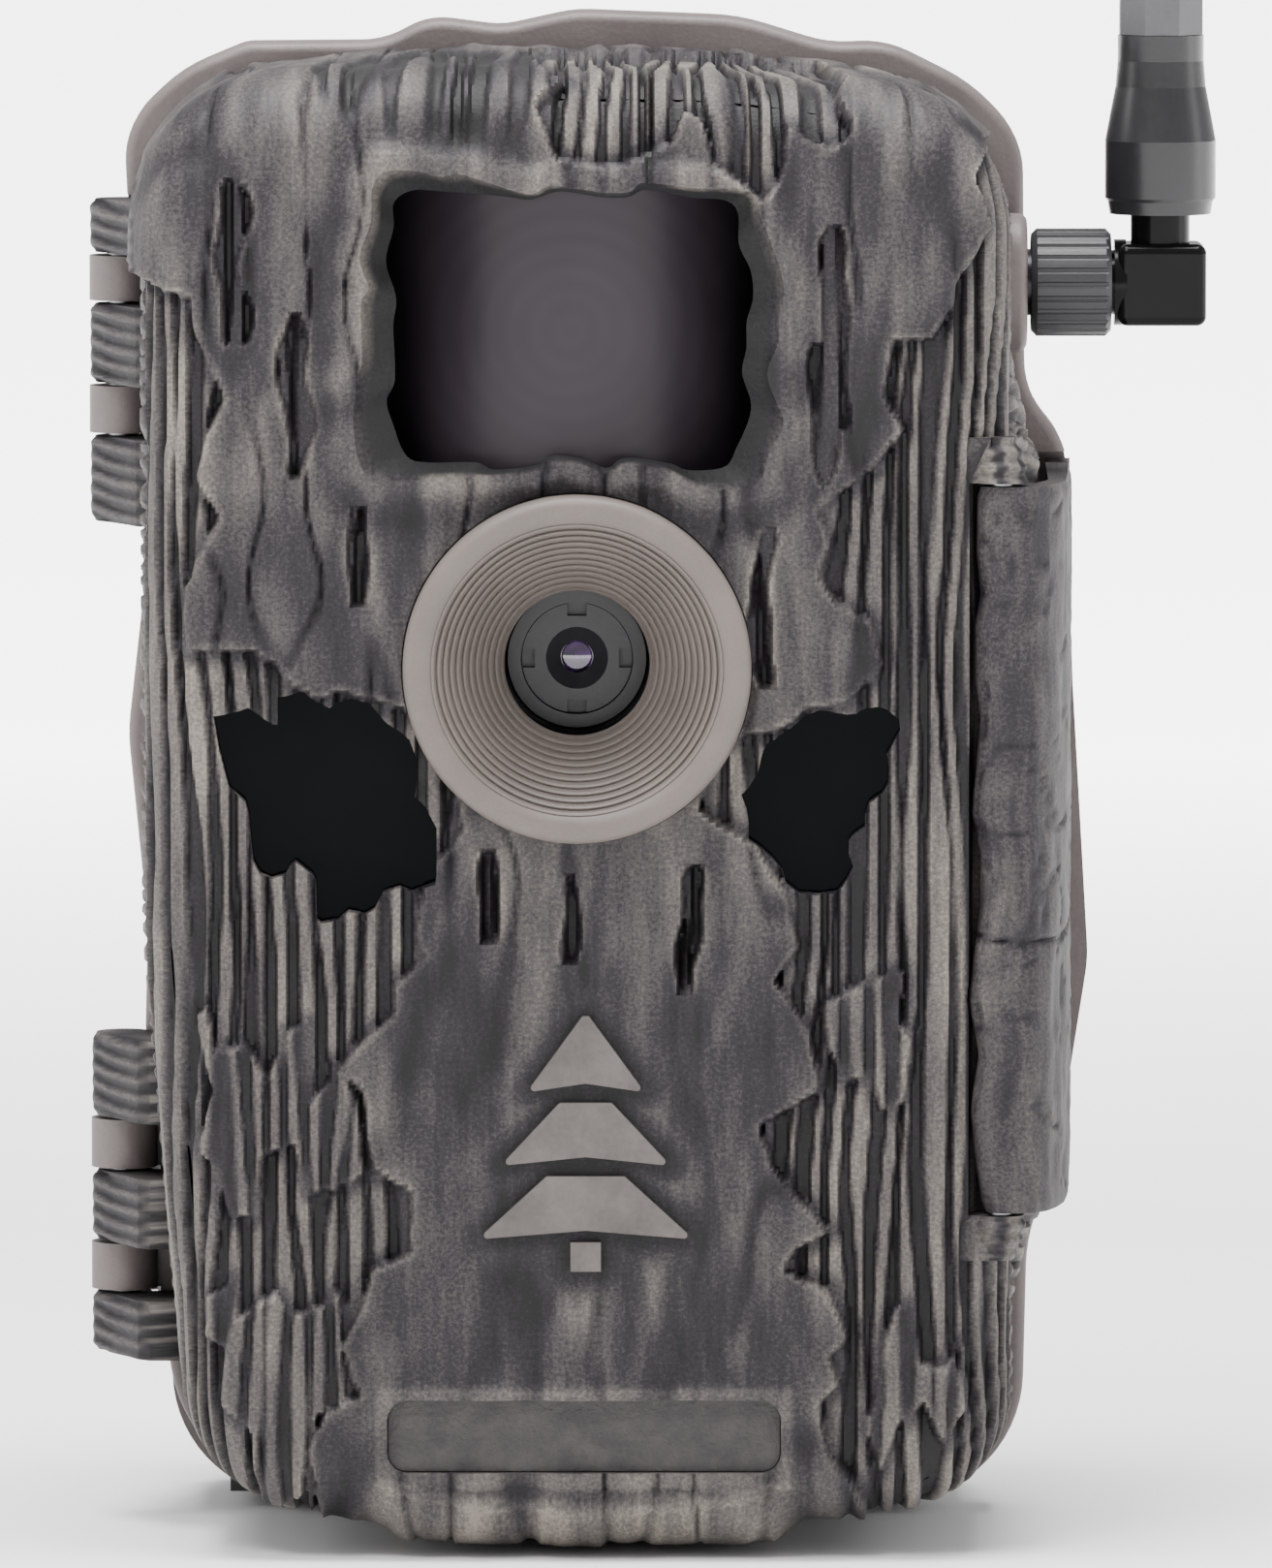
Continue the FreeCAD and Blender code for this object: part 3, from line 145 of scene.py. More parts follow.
PIR_OUTER = [
    (-17.8, 128.2), (-14.8, 128.3), (-12.9, 127.8), (-11.0, 128.0), (-8.0, 127.1), (-4.5, 126.2),
    (-2.6, 127.0), (2.3, 126.4), (4.5, 126.5), (5.6, 127.3), (10.0, 126.8), (15.4, 126.6), (16.1, 125.0),
    (17.3, 121.5), (17.9, 119.6), (18.3, 117.4), (17.9, 115.0), (17.9, 112.8), (17.2, 110.1),
    (17.9, 107.3), (18.4, 105.2), (17.1, 102.7), (16.5, 100.5), (14.9, 99.4), (10.8, 99.6), (8.1, 101.0),
    (4.0, 101.7), (2.3, 100.6), (0.2, 101.6), (-2.8, 101.9), (-4.2, 101.0), (-8.0, 100.5),
    (-12.0, 100.4), (-18.1, 100.3), (-20.0, 101.6), (-20.8, 106.0), (-20.5, 108.7), (-19.9, 111.4),
    (-19.9, 116.3), (-19.2, 117.7), (-20.0, 120.4), (-19.0, 123.7), (-18.9, 126.7),
]
PIR_INNER = [
    (-15.4, 126.4), (-12.6, 126.3), (-9.4, 126.1), (-6.4, 125.8), (-4.5, 125.6), (-2.6, 126.3),
    (-0.9, 126.3), (2.3, 125.8), (4.5, 125.9), (5.6, 126.5), (7.8, 126.3), (10.0, 125.8), (13.2, 125.5),
    (14.3, 124.2), (14.3, 121.5), (15.4, 119.1), (15.6, 116.6), (15.0, 114.4), (15.0, 112.0),
    (14.6, 109.8), (15.4, 107.1), (15.1, 105.2), (14.1, 103.0), (13.0, 101.2), (9.7, 100.9),
    (8.1, 101.5), (4.0, 102.0), (2.3, 101.0), (0.2, 101.9), (-2.8, 102.2), (-4.2, 101.3), (-8.0, 100.9),
    (-9.6, 101.6), (-14.0, 101.6), (-15.9, 102.2), (-17.0, 104.9), (-17.7, 107.3), (-16.9, 109.2),
    (-17.1, 114.1), (-16.8, 116.6), (-17.8, 119.9), (-17.1, 123.1), (-17.1, 125.3),
]
IR_LEFT = [
    (-33.8, 78.3), (-32.0, 78.6), (-30.6, 79.1), (-29.5, 78.3), (-28.3, 77.5), (-27.9, 77.5),
    (-27.9, 80.0), (-25.6, 80.6), (-24.3, 79.6), (-23.1, 79.1), (-22.4, 79.6), (-21.1, 79.9),
    (-19.6, 79.6), (-18.0, 77.8), (-15.8, 76.2), (-15.1, 74.3), (-15.0, 72.6), (-15.3, 70.9),
    (-14.3, 69.9), (-13.3, 68.0), (-13.3, 63.8), (-13.4, 62.9), (-15.6, 62.1), (-16.7, 62.5),
    (-18.2, 62.1), (-19.0, 60.5), (-19.9, 60.0), (-21.4, 60.3), (-22.4, 59.5), (-23.9, 59.2),
    (-24.3, 59.5), (-24.4, 63.1), (-24.7, 63.7), (-26.3, 64.9), (-26.8, 64.5), (-27.2, 63.7),
    (-28.5, 63.3), (-29.6, 63.8), (-30.2, 65.0), (-30.6, 69.3), (-30.9, 70.4), (-32.4, 71.7),
    (-33.3, 75.2),
]
IR_RIGHT = [
    (14.7, 71.1), (15.4, 71.7), (16.2, 73.0), (16.6, 74.8), (17.0, 75.7), (17.8, 76.2), (19.1, 77.1),
    (20.6, 78.4), (21.9, 78.9), (23.1, 78.7), (24.4, 78.5), (25.3, 78.6), (26.1, 79.0), (27.1, 79.2),
    (28.1, 78.9), (29.2, 78.0), (29.3, 77.0), (28.7, 75.8), (28.1, 74.8), (28.3, 73.4), (28.2, 72.1),
    (27.7, 71.2), (26.5, 70.3), (26.1, 69.2), (26.1, 68.1), (25.2, 67.5), (24.6, 66.8), (24.6, 65.6),
    (25.0, 64.4), (24.4, 63.1), (23.6, 62.1), (21.8, 61.8), (20.0, 62.0), (18.8, 62.9), (18.5, 64.1),
    (17.6, 65.2), (16.6, 66.1), (15.4, 66.9), (15.4, 68.4), (15.2, 69.7),
]
LATCH_EDGE = [  # x, z of the lever's wavy front edge, from its lower end upwards
    (37.0, 32.4), (36.1, 38.4), (35.8, 41.6), (36.6, 47.0), (35.6, 52.0), (36.7, 60.8), (36.7, 65.6),
    (35.9, 69.4), (36.3, 73.4), (36.7, 78.0), (36.2, 81.6), (36.1, 86.4), (36.7, 89.4), (36.3, 93.4),
    (36.4, 99.4),
]


# ---- noise and distance fields on numpy arrays
def lattice(i, j, seed):
    """A fixed pseudo-random value from 0 to 1 for each pair of whole numbers."""
    n = np.sin(i * 12.9898 + j * 78.233 + seed * 37.719) * 43758.5453
    return n - np.floor(n)


def noise(x, y, seed=0):
    """Smooth value noise from -1 to 1 with a feature at each whole number."""
    i, j = np.floor(x), np.floor(y)
    u, v = x - i, y - j
    u, v = u * u * (3 - 2 * u), v * v * (3 - 2 * v)
    low = lattice(i, j, seed) * (1 - u) + lattice(i + 1, j, seed) * u
    high = lattice(i, j + 1, seed) * (1 - u) + lattice(i + 1, j + 1, seed) * u
    return 2 * (low * (1 - v) + high * v) - 1


def step(lo, hi, x):
    """Smooth rise from 0 at lo to 1 at hi."""
    t = np.clip((x - lo) / (hi - lo), 0, 1)
    return t * t * (3 - 2 * t)


def inside_distance(x, z, corners):
    """Distance to a polygon's edge, positive inside it."""
    best = np.full(np.shape(x), 1e9)
    inside = np.zeros(np.shape(x), bool)
    for (ax, az), (bx, bz) in zip(corners, corners[1:] + corners[:1]):
        ex, ez = bx - ax, bz - az
        t = np.clip(((x - ax) * ex + (z - az) * ez) / (ex * ex + ez * ez), 0, 1)
        best = np.minimum(best, np.hypot(x - ax - t * ex, z - az - t * ez))
        if az != bz:
            crosses = (az > z) != (bz > z)
            inside ^= crosses & (x < ax + (z - az) * ex / ez)
    return np.where(inside, best, -best)


# ---- bark
def grain(a, b, seed=0):
    """Strips of wood along b that split and taper, 1 on a strip and 0 in the groove beside it."""
    across = a + 1.3 * noise(a / 9, b / 30, seed + 1) + 0.25 * noise(a / 2.4, b / 11, seed + 2)
    wave = np.sin(2.9 * across + 2.6 * noise(across / 2.6, b / 20, seed + 3))
    return step(-0.62, 0.38, wave + noise(across / 1.0, b / 13, seed + 4))


PAD_AT = (59.0, ANTENNA_Z)  # the antenna's pad, unrolled


def beyond(a, b, outlines):
    """Greatest distance inside any of the outlines."""
    best = np.full(np.shape(a), -9.0)
    for outline in outlines:
        best = np.maximum(best, inside_distance(a, b, outline))
    return best


def outside_span(value, span):
    """How far a value lies outside a span, negative inside it."""
    return np.abs(value - (span[0] + span[1]) / 2) - (span[1] - span[0]) / 2


def slit_distance(a, b):
    """Distance outside the nearest long slit of the upper bark."""
    nearest = np.full(np.shape(a), 3.0)
    for x, z0, z1, half in SLITS:
        along = np.clip((b - z0) / (z1 - z0), 0, 1)
        taper = np.clip(4 * along * (1 - along), 0, 1) ** 0.2
        width = half * taper * (1.15 + 0.45 * noise(b / 3.2, x + 0 * b, 13))
        wander = x + 0.7 * noise(b / 5, x + 0 * b, 14)
        nearest = np.minimum(nearest, np.where((b > z0) & (b < z1), np.abs(a - wander) - width, 3.0))
    return nearest


def lower_bark(a, b):
    """The fine strips that show wherever the upper bark is missing."""
    side = step(41.5, 45.0, np.abs(a))
    strips = grain(a, b) * (1 - side) + grain(b * 1.1 + 0.2 * np.abs(a), a * 1.3, 9) * side
    groove = 1 - strips
    fine = 0.1 * noise(a / 0.4, b / 14, 22) * groove
    relief = -0.85 * groove + 0.12 * noise(a / 1.5, b / 9, 21) + fine
    return relief, 0.03 + (0.74 + 0.16 * noise(a / 3.1, b / 21, 23)) * strips


def upper_bark(a, b, plate):
    """The thick upper layer: long soft ridges with dark paint and painted shade in their valleys, a painted
    highlight on its rim, framed openings and a ledge.
    """
    near = step(-4.0, -1.0, beyond(a, b, EMBLEM_PARTS))
    valley = np.abs(noise(a / 4.6 + 0.35 * noise(a / 3, b / 9, 35), b / 24, 36))
    ridges = 0.3 * noise(a / 3.4, b / 17, 31) + 0.16 * noise(a / 1.7, b / 6, 32)
    ridges = ridges - 0.5 * step(0.24, 0.0, valley)
    ridges = ridges * (1 - near) - 0.2 * near
    furrow = step(0.0, 3.0, inside_distance(a, b, RIBBED)) * (1 - grain(a * 0.75, b, 6))
    ridges = ridges - 0.6 * furrow
    smudge = noise(a / 3.2, b / 13, 33) + 0.45 * noise(a / 1.4, b / 5, 34)
    soft = step(-0.45, 0.6, smudge) * (1 - furrow) - 0.9 * furrow
    wavy = 0.35 * noise(a / 2.1, b / 2.1, 37)
    frame = -inside_distance(a, b, PIR_OUTER) + wavy
    window_lip = step(2.3, 1.2, frame)
    moat = step(1.9, 3.2, frame) * step(6.5, 3.6, frame)
    label = np.maximum(outside_span(a, RECESS_X), outside_span(b, RECESS_Z))
    label_lip = step(1.5, 0.7, label)
    chin_line = 7.3 - 1.5 * np.clip(1 - (a / 18.5) ** 2, 0, 1)
    ledge = step(20.5, 18.0, np.abs(a - 0.4))
    # The shelf along the ledge's corner is lighter in the paint below: worn paint on the corner and a painted
    # highlight where it catches light.
    shelf = ledge * step(0.9, 0.2, np.abs(b - chin_line))
    below = ledge * step(0.2, -0.8, b - chin_line)
    # The plate's rim: a raised lip, and a painted highlight along it in the paint below.
    edge = step(1.0, 0.3, plate)
    relief = 1.0 + ridges + 0.2 * edge + 0.45 * window_lip - 0.35 * moat
    relief = relief + 0.3 * label_lip + 0.4 * shelf - 0.4 * below
    # The paint rises with the ridges, so valleys and furrows hold dark paint smudges and painted shade.
    paint = 0.33 + 0.24 * soft + 0.55 * ridges + 0.3 * edge + 0.14 * window_lip - 0.2 * moat
    paint = paint + 0.3 * label_lip + 0.35 * shelf + 0.4 * below
    return relief, paint * (1 - 0.85 * step(-2.4, -0.2, beyond(a, b, EMBLEM_PARTS)))


def bark(a, b):
    """Relief in mm above the skin, and paint from 0, dark, to 1, light, at places a across and b up."""
    ragged = 0.2 * noise(a / 1.7, b / 1.9, 11) + 0.05 * noise(a / 0.8, b / 0.8, 12)
    whole = inside_distance(a, b, UPPER_PLATE) + ragged
    for notch in TOP_NOTCHES:
        whole = np.minimum(whole, -inside_distance(a, b, notch) + ragged)
    plate = np.minimum(whole, slit_distance(a, b))
    patch = beyond(a, b, PATCHES) + ragged
    on_plate, on_patch = step(-0.1, 0.35, plate), step(-0.1, 0.35, patch)
    relief, paint = lower_bark(a, b)
    broken = grain(a + 40, b + 11, 5)
    shadow = np.maximum(step(-1.8, -0.2, whole), 0.8 * step(-1.6, -0.2, patch))
    paint = paint * (1 - 0.65 * shadow) * (1 - 0.25 * step(-0.2, 0.4, whole))
    relief = relief * (1 - on_patch) + (0.75 - 0.6 * (1 - broken)) * on_patch
    # The patches' edges get a painted highlight.
    paint = paint * (1 - on_patch) + (0.06 + 0.62 * broken + 0.2 * step(0.9, 0.3, patch)) * on_patch
    top, top_paint = upper_bark(a, b, plate)
    relief = relief * (1 - on_plate) + top * on_plate
    paint = paint * (1 - on_plate) + top_paint * on_plate
    beside_pad = step(8.5, 6.5, np.hypot(a - PAD_AT[0], b - PAD_AT[1]))
    return relief * (1 - beside_pad), np.clip(paint, 0, 1)


# ---- the front half's skin, rolled and unrolled
def rounded(points):
    """The outline with rounded corners: ("arc", centre, r, first, last) and ("line", start, end) pieces."""
    pieces = []
    n = len(points)
    ends = []
    for i, (x, z, r) in enumerate(points):
        here = np.array((x, z))
        before = np.array(points[i - 1][:2]) - here
        after = np.array(points[(i + 1) % n][:2]) - here
        lb, la = np.linalg.norm(before), np.linalg.norm(after)
        u, w = before / lb, after / la
        half = math.acos(np.clip(u @ w, -1, 1)) / 2
        reach = r / math.tan(half)
        room = 0.48 * min(lb, la)
        if reach > room:
            reach, r = room, room * math.tan(half)
        mid = (u + w) / np.linalg.norm(u + w)
        ends.append((here + u * reach, here + w * reach, here + mid * r / math.sin(half), r))
    for i, (first, last, centre, r) in enumerate(ends):
        pieces.append(("arc", centre, r, first, last))
        pieces.append(("line", last, ends[(i + 1) % n][0]))
    return pieces


SKIN = rounded(COVER)


def nearest_on_inset(x, z, inset=EDGE_R):
    """Closest point of the inset outline, its outward normal, and the distance outside it."""
    best = np.full(np.shape(x), 1e9)
    cx, cz, nx, nz = (np.zeros(np.shape(x)) for _ in range(4))
    for piece in SKIN:
        if piece[0] == "line":
            (ax, az), (bx, bz) = piece[1], piece[2]
            length = math.hypot(bx - ax, bz - az)
            tx, tz = (bx - ax) / length, (bz - az) / length
            ox, oz = -tz, tx
            t = np.clip((x - ax) * tx + (z - az) * tz, 0, length)
            px, pz = ax + tx * t - ox * inset, az + tz * t - oz * inset
            qx, qz = np.full(np.shape(x), ox), np.full(np.shape(x), oz)
        else:
            centre, r, first, last = piece[1:]
            towards = (first + last) / 2 - centre
            towards = towards / np.linalg.norm(towards)
            spread = math.acos(np.clip((first - centre) @ towards / r, -1, 1))
            angle = np.arctan2(z - centre[1], x - centre[0]) - math.atan2(towards[1], towards[0])
            angle = (angle + math.pi) % (2 * math.pi) - math.pi
            angle = np.clip(angle, -spread, spread) + math.atan2(towards[1], towards[0])
            qx, qz = np.cos(angle), np.sin(angle)
            px, pz = centre[0] + qx * (r - inset), centre[1] + qz * (r - inset)
        gap = np.hypot(x - px, z - pz)
        closer = gap < best
        best = np.where(closer, gap, best)
        cx, cz = np.where(closer, px, cx), np.where(closer, pz, cz)
        nx, nz = np.where(closer, qx, nx), np.where(closer, qz, nz)
    outside = (x - cx) * nx + (z - cz) * nz > 0
    return cx, cz, nx, nz, np.where(outside, best, -best)


QUARTER = EDGE_R * math.pi / 2
WRAP = QUARTER + SEAM_Y - FACE_Y - EDGE_R


def roll(a, b):
    """Places and outward normals on the skin for unrolled coordinates."""
    cx, cz, nx, nz, d = nearest_on_inset(a, b)
    turn = np.clip(d / EDGE_R, 0, math.pi / 2)
    side = np.clip(d - QUARTER, 0, WRAP - QUARTER)
    flat = d <= 0
    x = np.where(flat, a, cx + nx * EDGE_R * np.sin(turn))
    z = np.where(flat, b, cz + nz * EDGE_R * np.sin(turn))
    y = np.where(flat, FACE_Y, FACE_Y + EDGE_R * (1 - np.cos(turn)) + side)
    normal = np.stack([nx * np.sin(turn), -np.cos(turn), nz * np.sin(turn)], -1)
    return np.stack([x, y, z], -1), normal, d


def unroll(x, y, z):
    """Unrolled coordinates of places near the skin."""
    cx, cz, nx, nz, out = nearest_on_inset(x, z)
    depth = y - FACE_Y
    turn = np.arctan2(np.maximum(out, 0), np.maximum(EDGE_R - depth, 1e-6))
    d = np.where(depth > EDGE_R, QUARTER + depth - EDGE_R, EDGE_R * turn)
    flat = out <= 0
    return np.where(flat, x, cx + nx * d), np.where(flat, z, cz + nz * d)


def swell(a, b):
    """Outward swelling in mm (the chin and the shoulder beside the latch), and the lip's mask from 0 to 1."""
    place = roll(a, b)[0]
    x, y, z = place[..., 0], place[..., 1], place[..., 2]
    chin = 2.6 * step(21.0, 16.0, np.abs(x - 0.6)) * step(8.5, 4.0, z)
    chin = chin * step(-6.0, -10.0, y) * step(-36.3, -33.5, y)
    beside = step(38.0, 39.5, x)
    high = step(103.8, 101.0, z) * step(28.0, 31.0, z)
    raised = np.maximum(high, 0.6 * step(112.0, 103.0, z) * step(22.0, 30.0, z))
    lip = step(100.7, 99.9, z) * step(31.1, 31.9, z) * step(34.4, 35.4, x)
    return chin + 2.7 * raised * beside * step(-31.5, -24.0, y), lip


# ---- mesh building
def make(name, verts, faces):
    """A mesh object from corners in mm."""
    mesh = bpy.data.meshes.new(name)
    verts = np.asarray(verts, float) * 0.001
    mesh.from_pydata(verts.tolist(), [], faces)
    mesh.update()
    obj = bpy.data.objects.new(name, mesh)
    bpy.context.scene.collection.objects.link(obj)
    return obj


def tidy(obj, sharp=38):
    """Outward normals, and smooth shading with crisp edges."""
    bpy.context.view_layer.objects.active = obj
    bpy.ops.object.select_all(action="DESELECT")
    obj.select_set(True)
    bpy.ops.object.mode_set(mode="EDIT")
    bpy.ops.mesh.select_all(action="SELECT")
    bpy.ops.mesh.normals_make_consistent(inside=False)
    bpy.ops.object.mode_set(mode="OBJECT")
    obj.data.shade_smooth()
    obj.data.set_sharp_from_angle(angle=math.radians(sharp))
    return obj


def combine(obj, other, operation):
    """Boolean of obj with other, which is then removed."""
    modifier = obj.modifiers.new("cut", "BOOLEAN")
    modifier.operation = operation
    modifier.object = other
    modifier.solver = "MANIFOLD"
    bpy.context.view_layer.objects.active = obj
    count = len(obj.data.vertices)
    bpy.ops.object.modifier_apply(modifier=modifier.name)
    if len(obj.data.vertices) == count:
        print("no change from", other.name)
    bpy.data.objects.remove(other)
    return obj


def resample(points, count):
    """Points evenly spaced round a closed outline, softened by a rounded curve through its corners."""
    p = np.array(points, float)
    dense = []
    n = len(p)
    for i in range(n):
        a, b, c, d = p[i - 1], p[i], p[(i + 1) % n], p[(i + 2) % n]
        for t in np.linspace(0, 1, 8, endpoint=False):
            bend, twist = 2 * a - 5 * b + 4 * c - d, 3 * b - a - 3 * c + d
            dense.append(0.5 * (2 * b + (c - a) * t + bend * t * t + twist * t ** 3))
    dense = np.array(dense)
    loop = np.vstack([dense, dense[:1]])
    run = np.concatenate([[0], np.cumsum(np.linalg.norm(np.diff(loop, axis=0), axis=1))])
    where = np.linspace(0, 1, count, endpoint=False) * run[-1]
    return np.stack([np.interp(where, run, loop[:, k]) for k in range(2)], 1)


def loft(name, rings):
    """A closed solid through rings of the same number of 3-D points."""
    n = len(rings[0])
    verts = np.concatenate(rings)
    faces = []
    for k in range(len(rings) - 1):
        for i in range(n):
            j = (i + 1) % n
            faces.append((k * n + i, k * n + j, (k + 1) * n + j, (k + 1) * n + i))
    faces.append(tuple(reversed(range(n))))
    faces.append(tuple((len(rings) - 1) * n + i for i in range(n)))
    return tidy(make(name, verts, faces))


def at_x(flat, x):
    """A flat outline placed at one x. at_y and at_z do the same."""
    return np.stack([np.full(len(flat), x), flat[:, 0], flat[:, 1]], 1)


def at_y(flat, y):
    return np.stack([flat[:, 0], np.full(len(flat), y), flat[:, 1]], 1)


def at_z(flat, z):
    return np.stack([flat[:, 0], flat[:, 1], np.full(len(flat), z)], 1)


def disc(r, cx, cz, count=96):
    t = np.linspace(0, 2 * math.pi, count, endpoint=False)
    return np.stack([cx + r * np.cos(t), cz + r * np.sin(t)], 1)


def cylinder_y(name, r, x, z, y0, y1):
    flat = disc(r, x, z)
    return loft(name, [at_y(flat, y0), at_y(flat, y1)])


def cylinder_z(name, r, x, y, z0, z1, count=48):
    return loft(name, [at_z(disc(r, x, y, count), z0), at_z(disc(r, x, y, count), z1)])


def block(name, x, y, z):
    flat = np.array([(x[0], y[0]), (x[1], y[0]), (x[1], y[1]), (x[0], y[1])], float)
    return loft(name, [at_z(flat, z[0]), at_z(flat, z[1])])


def knuckle_ribs(z, angle):
    """The ribs of a hinge knuckle, from -1 to 1, tilted round its barrel."""
    return np.sin((z + 0.5 * np.cos(angle + RIB_TURN)) * 2 * math.pi / RIB_PITCH)


def mark_bark(obj):
    """Stores unrolled coordinates and paint on the mesh for the material."""
    n = len(obj.data.vertices)
    co = np.zeros(n * 3)
    obj.data.vertices.foreach_get("co", co)
    x, y, z = co.reshape(-1, 3).T * 1000
    a, b = unroll(x, y, z)
    paint = bark(a, b)[1]
    knuckle = x < -41.2
    angle = np.arctan2(y - HINGE_Y - KNUCKLE_SHIFT[1], x - HINGE_X - KNUCKLE_SHIFT[0])
    paint = np.where(knuckle, 0.3 + 0.3 * knuckle_ribs(z, angle), paint)
    a, b = np.where(knuckle, z * 1.1 + 300, a), np.where(knuckle, x + y, b)
    # The motion-sensor opening's walls are marked for a dark colour: plain wall without bark paint, and
    # painted shade inside the opening.
    by_window = step(0.4, 1.2, inside_distance(x, z, PIR_OUTER) + 1.0)
    store(obj, a, b, paint, by_window * step(-20, -25, y) * step(-36.9, -36.2, y))


def store(obj, a, b, paint, unpainted_and_shaded):
    """Keeps places, paint, and the spots bare of bark paint and painted dark as shade, as point attributes.
    """
    place = obj.data.attributes.new("bark", "FLOAT_VECTOR", "POINT")
    place.data.foreach_set("vector", np.stack([a, b, paint], 1).ravel())
    bare_and_shaded = obj.data.attributes.new("bare_and_shaded", "FLOAT", "POINT")
    bare_and_shaded.data.foreach_set("value", np.broadcast_to(unpainted_and_shaded, np.shape(a)).astype(float))


# ---- materials
def linear(level):
    """Linear light for a display level from 0 to 255."""
    return ((level / 255 + 0.055) / 1.055) ** 2.4 if level > 10 else level / 255 / 12.92


def srgb(r, g, b):
    return linear(r), linear(g), linear(b), 1.0


class Shader:
    """A node material with a few shorthands."""

    def __init__(self, name):
        self.material = bpy.data.materials.new(name)
        self.material.use_nodes = True
        self.tree = self.material.node_tree
        self.shade = self.tree.nodes["Principled BSDF"]

    def node(self, kind, **inputs):
        made = self.tree.nodes.new("ShaderNode" + kind)
        for key, value in inputs.items():
            if hasattr(made, key) and not isinstance(value, bpy.types.NodeSocket):
                setattr(made, key, value)
            else:
                self.feed(made, key, value)
        return made

    def feed(self, node, key, value):
        numbered = key[0] == "i" and key[1:].isdigit()
        socket = node.inputs[int(key[1:]) if numbered else key.replace("_", " ")]
        if isinstance(value, bpy.types.NodeSocket):
            self.tree.links.new(value, socket)
        else:
            socket.default_value = value

    def math(self, operation, a, b, clamp=False):
        return self.node("Math", operation=operation, use_clamp=clamp, i0=a, i1=b).outputs[0]

    def ramp(self, factor, stops):
        node = self.node("ValToRGB", Fac=factor)
        ramp = node.color_ramp
        while len(ramp.elements) < len(stops):
            ramp.elements.new(0.5)
        for element, (at, colour) in zip(ramp.elements, stops):
            element.position = at
            element.color = colour
        return node.outputs[0]

    def noise(self, vector, scale, detail=2.0, rough=0.5):
        return self.node("TexNoise", Vector=vector, Scale=scale, Detail=detail, Roughness=rough).outputs[0]

    def bump(self, height, distance, strength=1.0, normal=None):
        node = self.node("Bump", Height=height, Distance=distance, Strength=strength)
        if normal is not None:
            self.feed(node, "Normal", normal)
        return node.outputs[0]

    def here(self):
        return self.node("TexCoord").outputs["Object"]


def plastic(name, dark, light, rough=(0.45, 0.6), size=1.2, grain_depth=0.00004, grain_size=0.5, shine=0.4):
    """Moulded plastic: a slow drift between two colours and a fine moulded grain. Sizes are in mm."""
    s = Shader(name)
    s.shade.inputs["Specular IOR Level"].default_value = shine
    here = s.here()
    drift = s.noise(here, 1000 / (size * 8), 3.0)
    fine = s.noise(here, 1000 / grain_size, 2.0, 0.6)
    mixed = s.math("ADD", s.math("MULTIPLY", drift, 0.7), s.math("MULTIPLY", fine, 0.3))
    s.feed(s.shade, "Base_Color", s.ramp(mixed, [(0.3, dark), (0.7, light)]))
    low, high = rough
    s.feed(s.shade, "Roughness", s.node("MapRange", i0=fine, i3=low, i4=high).outputs[0])
    s.feed(s.shade, "Normal", s.bump(fine, grain_depth))
    return s.material


def metal(name, dark, light, rough=0.3):
    """Brushed metal between two colours."""
    s = Shader(name)
    here = s.here()
    brushed = s.noise(s.node("Mapping", Vector=here, Scale=(300, 300, 2500)).outputs[0], 1.0, 3.0)
    s.feed(s.shade, "Base_Color", s.ramp(brushed, [(0.3, dark), (0.7, light)]))
    s.feed(s.shade, "Metallic", 1.0)
    s.feed(s.shade, "Roughness", s.node("MapRange", i0=brushed, i3=rough * 0.8, i4=rough * 1.3).outputs[0])
    return s.material


def bark_material(name):
    """Painted bark: dark grooves, lighter tops with vertical smudges, and a fine leathery skin."""
    s = Shader(name)
    stored = s.node("Attribute", attribute_name="bark").outputs["Vector"]
    bare_and_shaded = s.node("Attribute", attribute_name="bare_and_shaded").outputs["Fac"]
    paint = s.node("SeparateXYZ", Vector=stored).outputs[2]
    streaked = s.node("Mapping", Vector=stored, Scale=(1.3, 0.13, 0.0)).outputs[0]
    smudged = s.node("Mapping", Vector=stored, Scale=(0.24, 0.06, 0.0)).outputs[0]
    flat = s.node("Mapping", Vector=stored, Scale=(1.0, 1.0, 0.0)).outputs[0]
    streak = s.noise(streaked, 1.0, 5.0, 0.6)
    smudge = s.noise(smudged, 1.0, 5.0, 0.62)
    speck = s.noise(flat, 2.7, 3.0, 0.75)
    leather = s.noise(flat, 1.7, 4.0, 0.6)
    tone = s.math("MULTIPLY", paint, 0.9)
    for wander, weight, last in ((streak, 0.34, False), (smudge, 0.9, False), (speck, 1.05, True)):
        tone = s.math("ADD", tone, s.math("MULTIPLY", s.math("SUBTRACT", wander, 0.5), weight), last)
    colour = s.ramp(tone, [
        (0.0, srgb(8, 7, 8)), (0.26, srgb(32, 28, 32)), (0.55, srgb(64, 60, 59)), (0.78, srgb(88, 83, 78)),
        (1.0, srgb(118, 111, 103)),
    ])
    # The motion-sensor opening's walls: a plain dark colour without bark paint, dark also as painted shade.
    wall_and_shade = s.ramp(speck, [(0.3, srgb(22, 22, 23)), (0.7, srgb(36, 36, 37))])
    s.shade.inputs["Specular IOR Level"].default_value = 0.3
    mixed = s.node("MixRGB", Fac=bare_and_shaded, Color1=colour, Color2=wall_and_shade).outputs[0]
    s.feed(s.shade, "Base_Color", mixed)
    s.feed(s.shade, "Roughness", s.node("MapRange", i0=speck, i3=0.5, i4=0.72).outputs[0])
    skin = s.math("ADD", s.math("MULTIPLY", leather, 0.8), s.math("MULTIPLY", streak, 0.2))
    s.feed(s.shade, "Normal", s.bump(speck, 0.00008, 0.6, s.bump(skin, 0.00016, 0.6)))
    return s.material


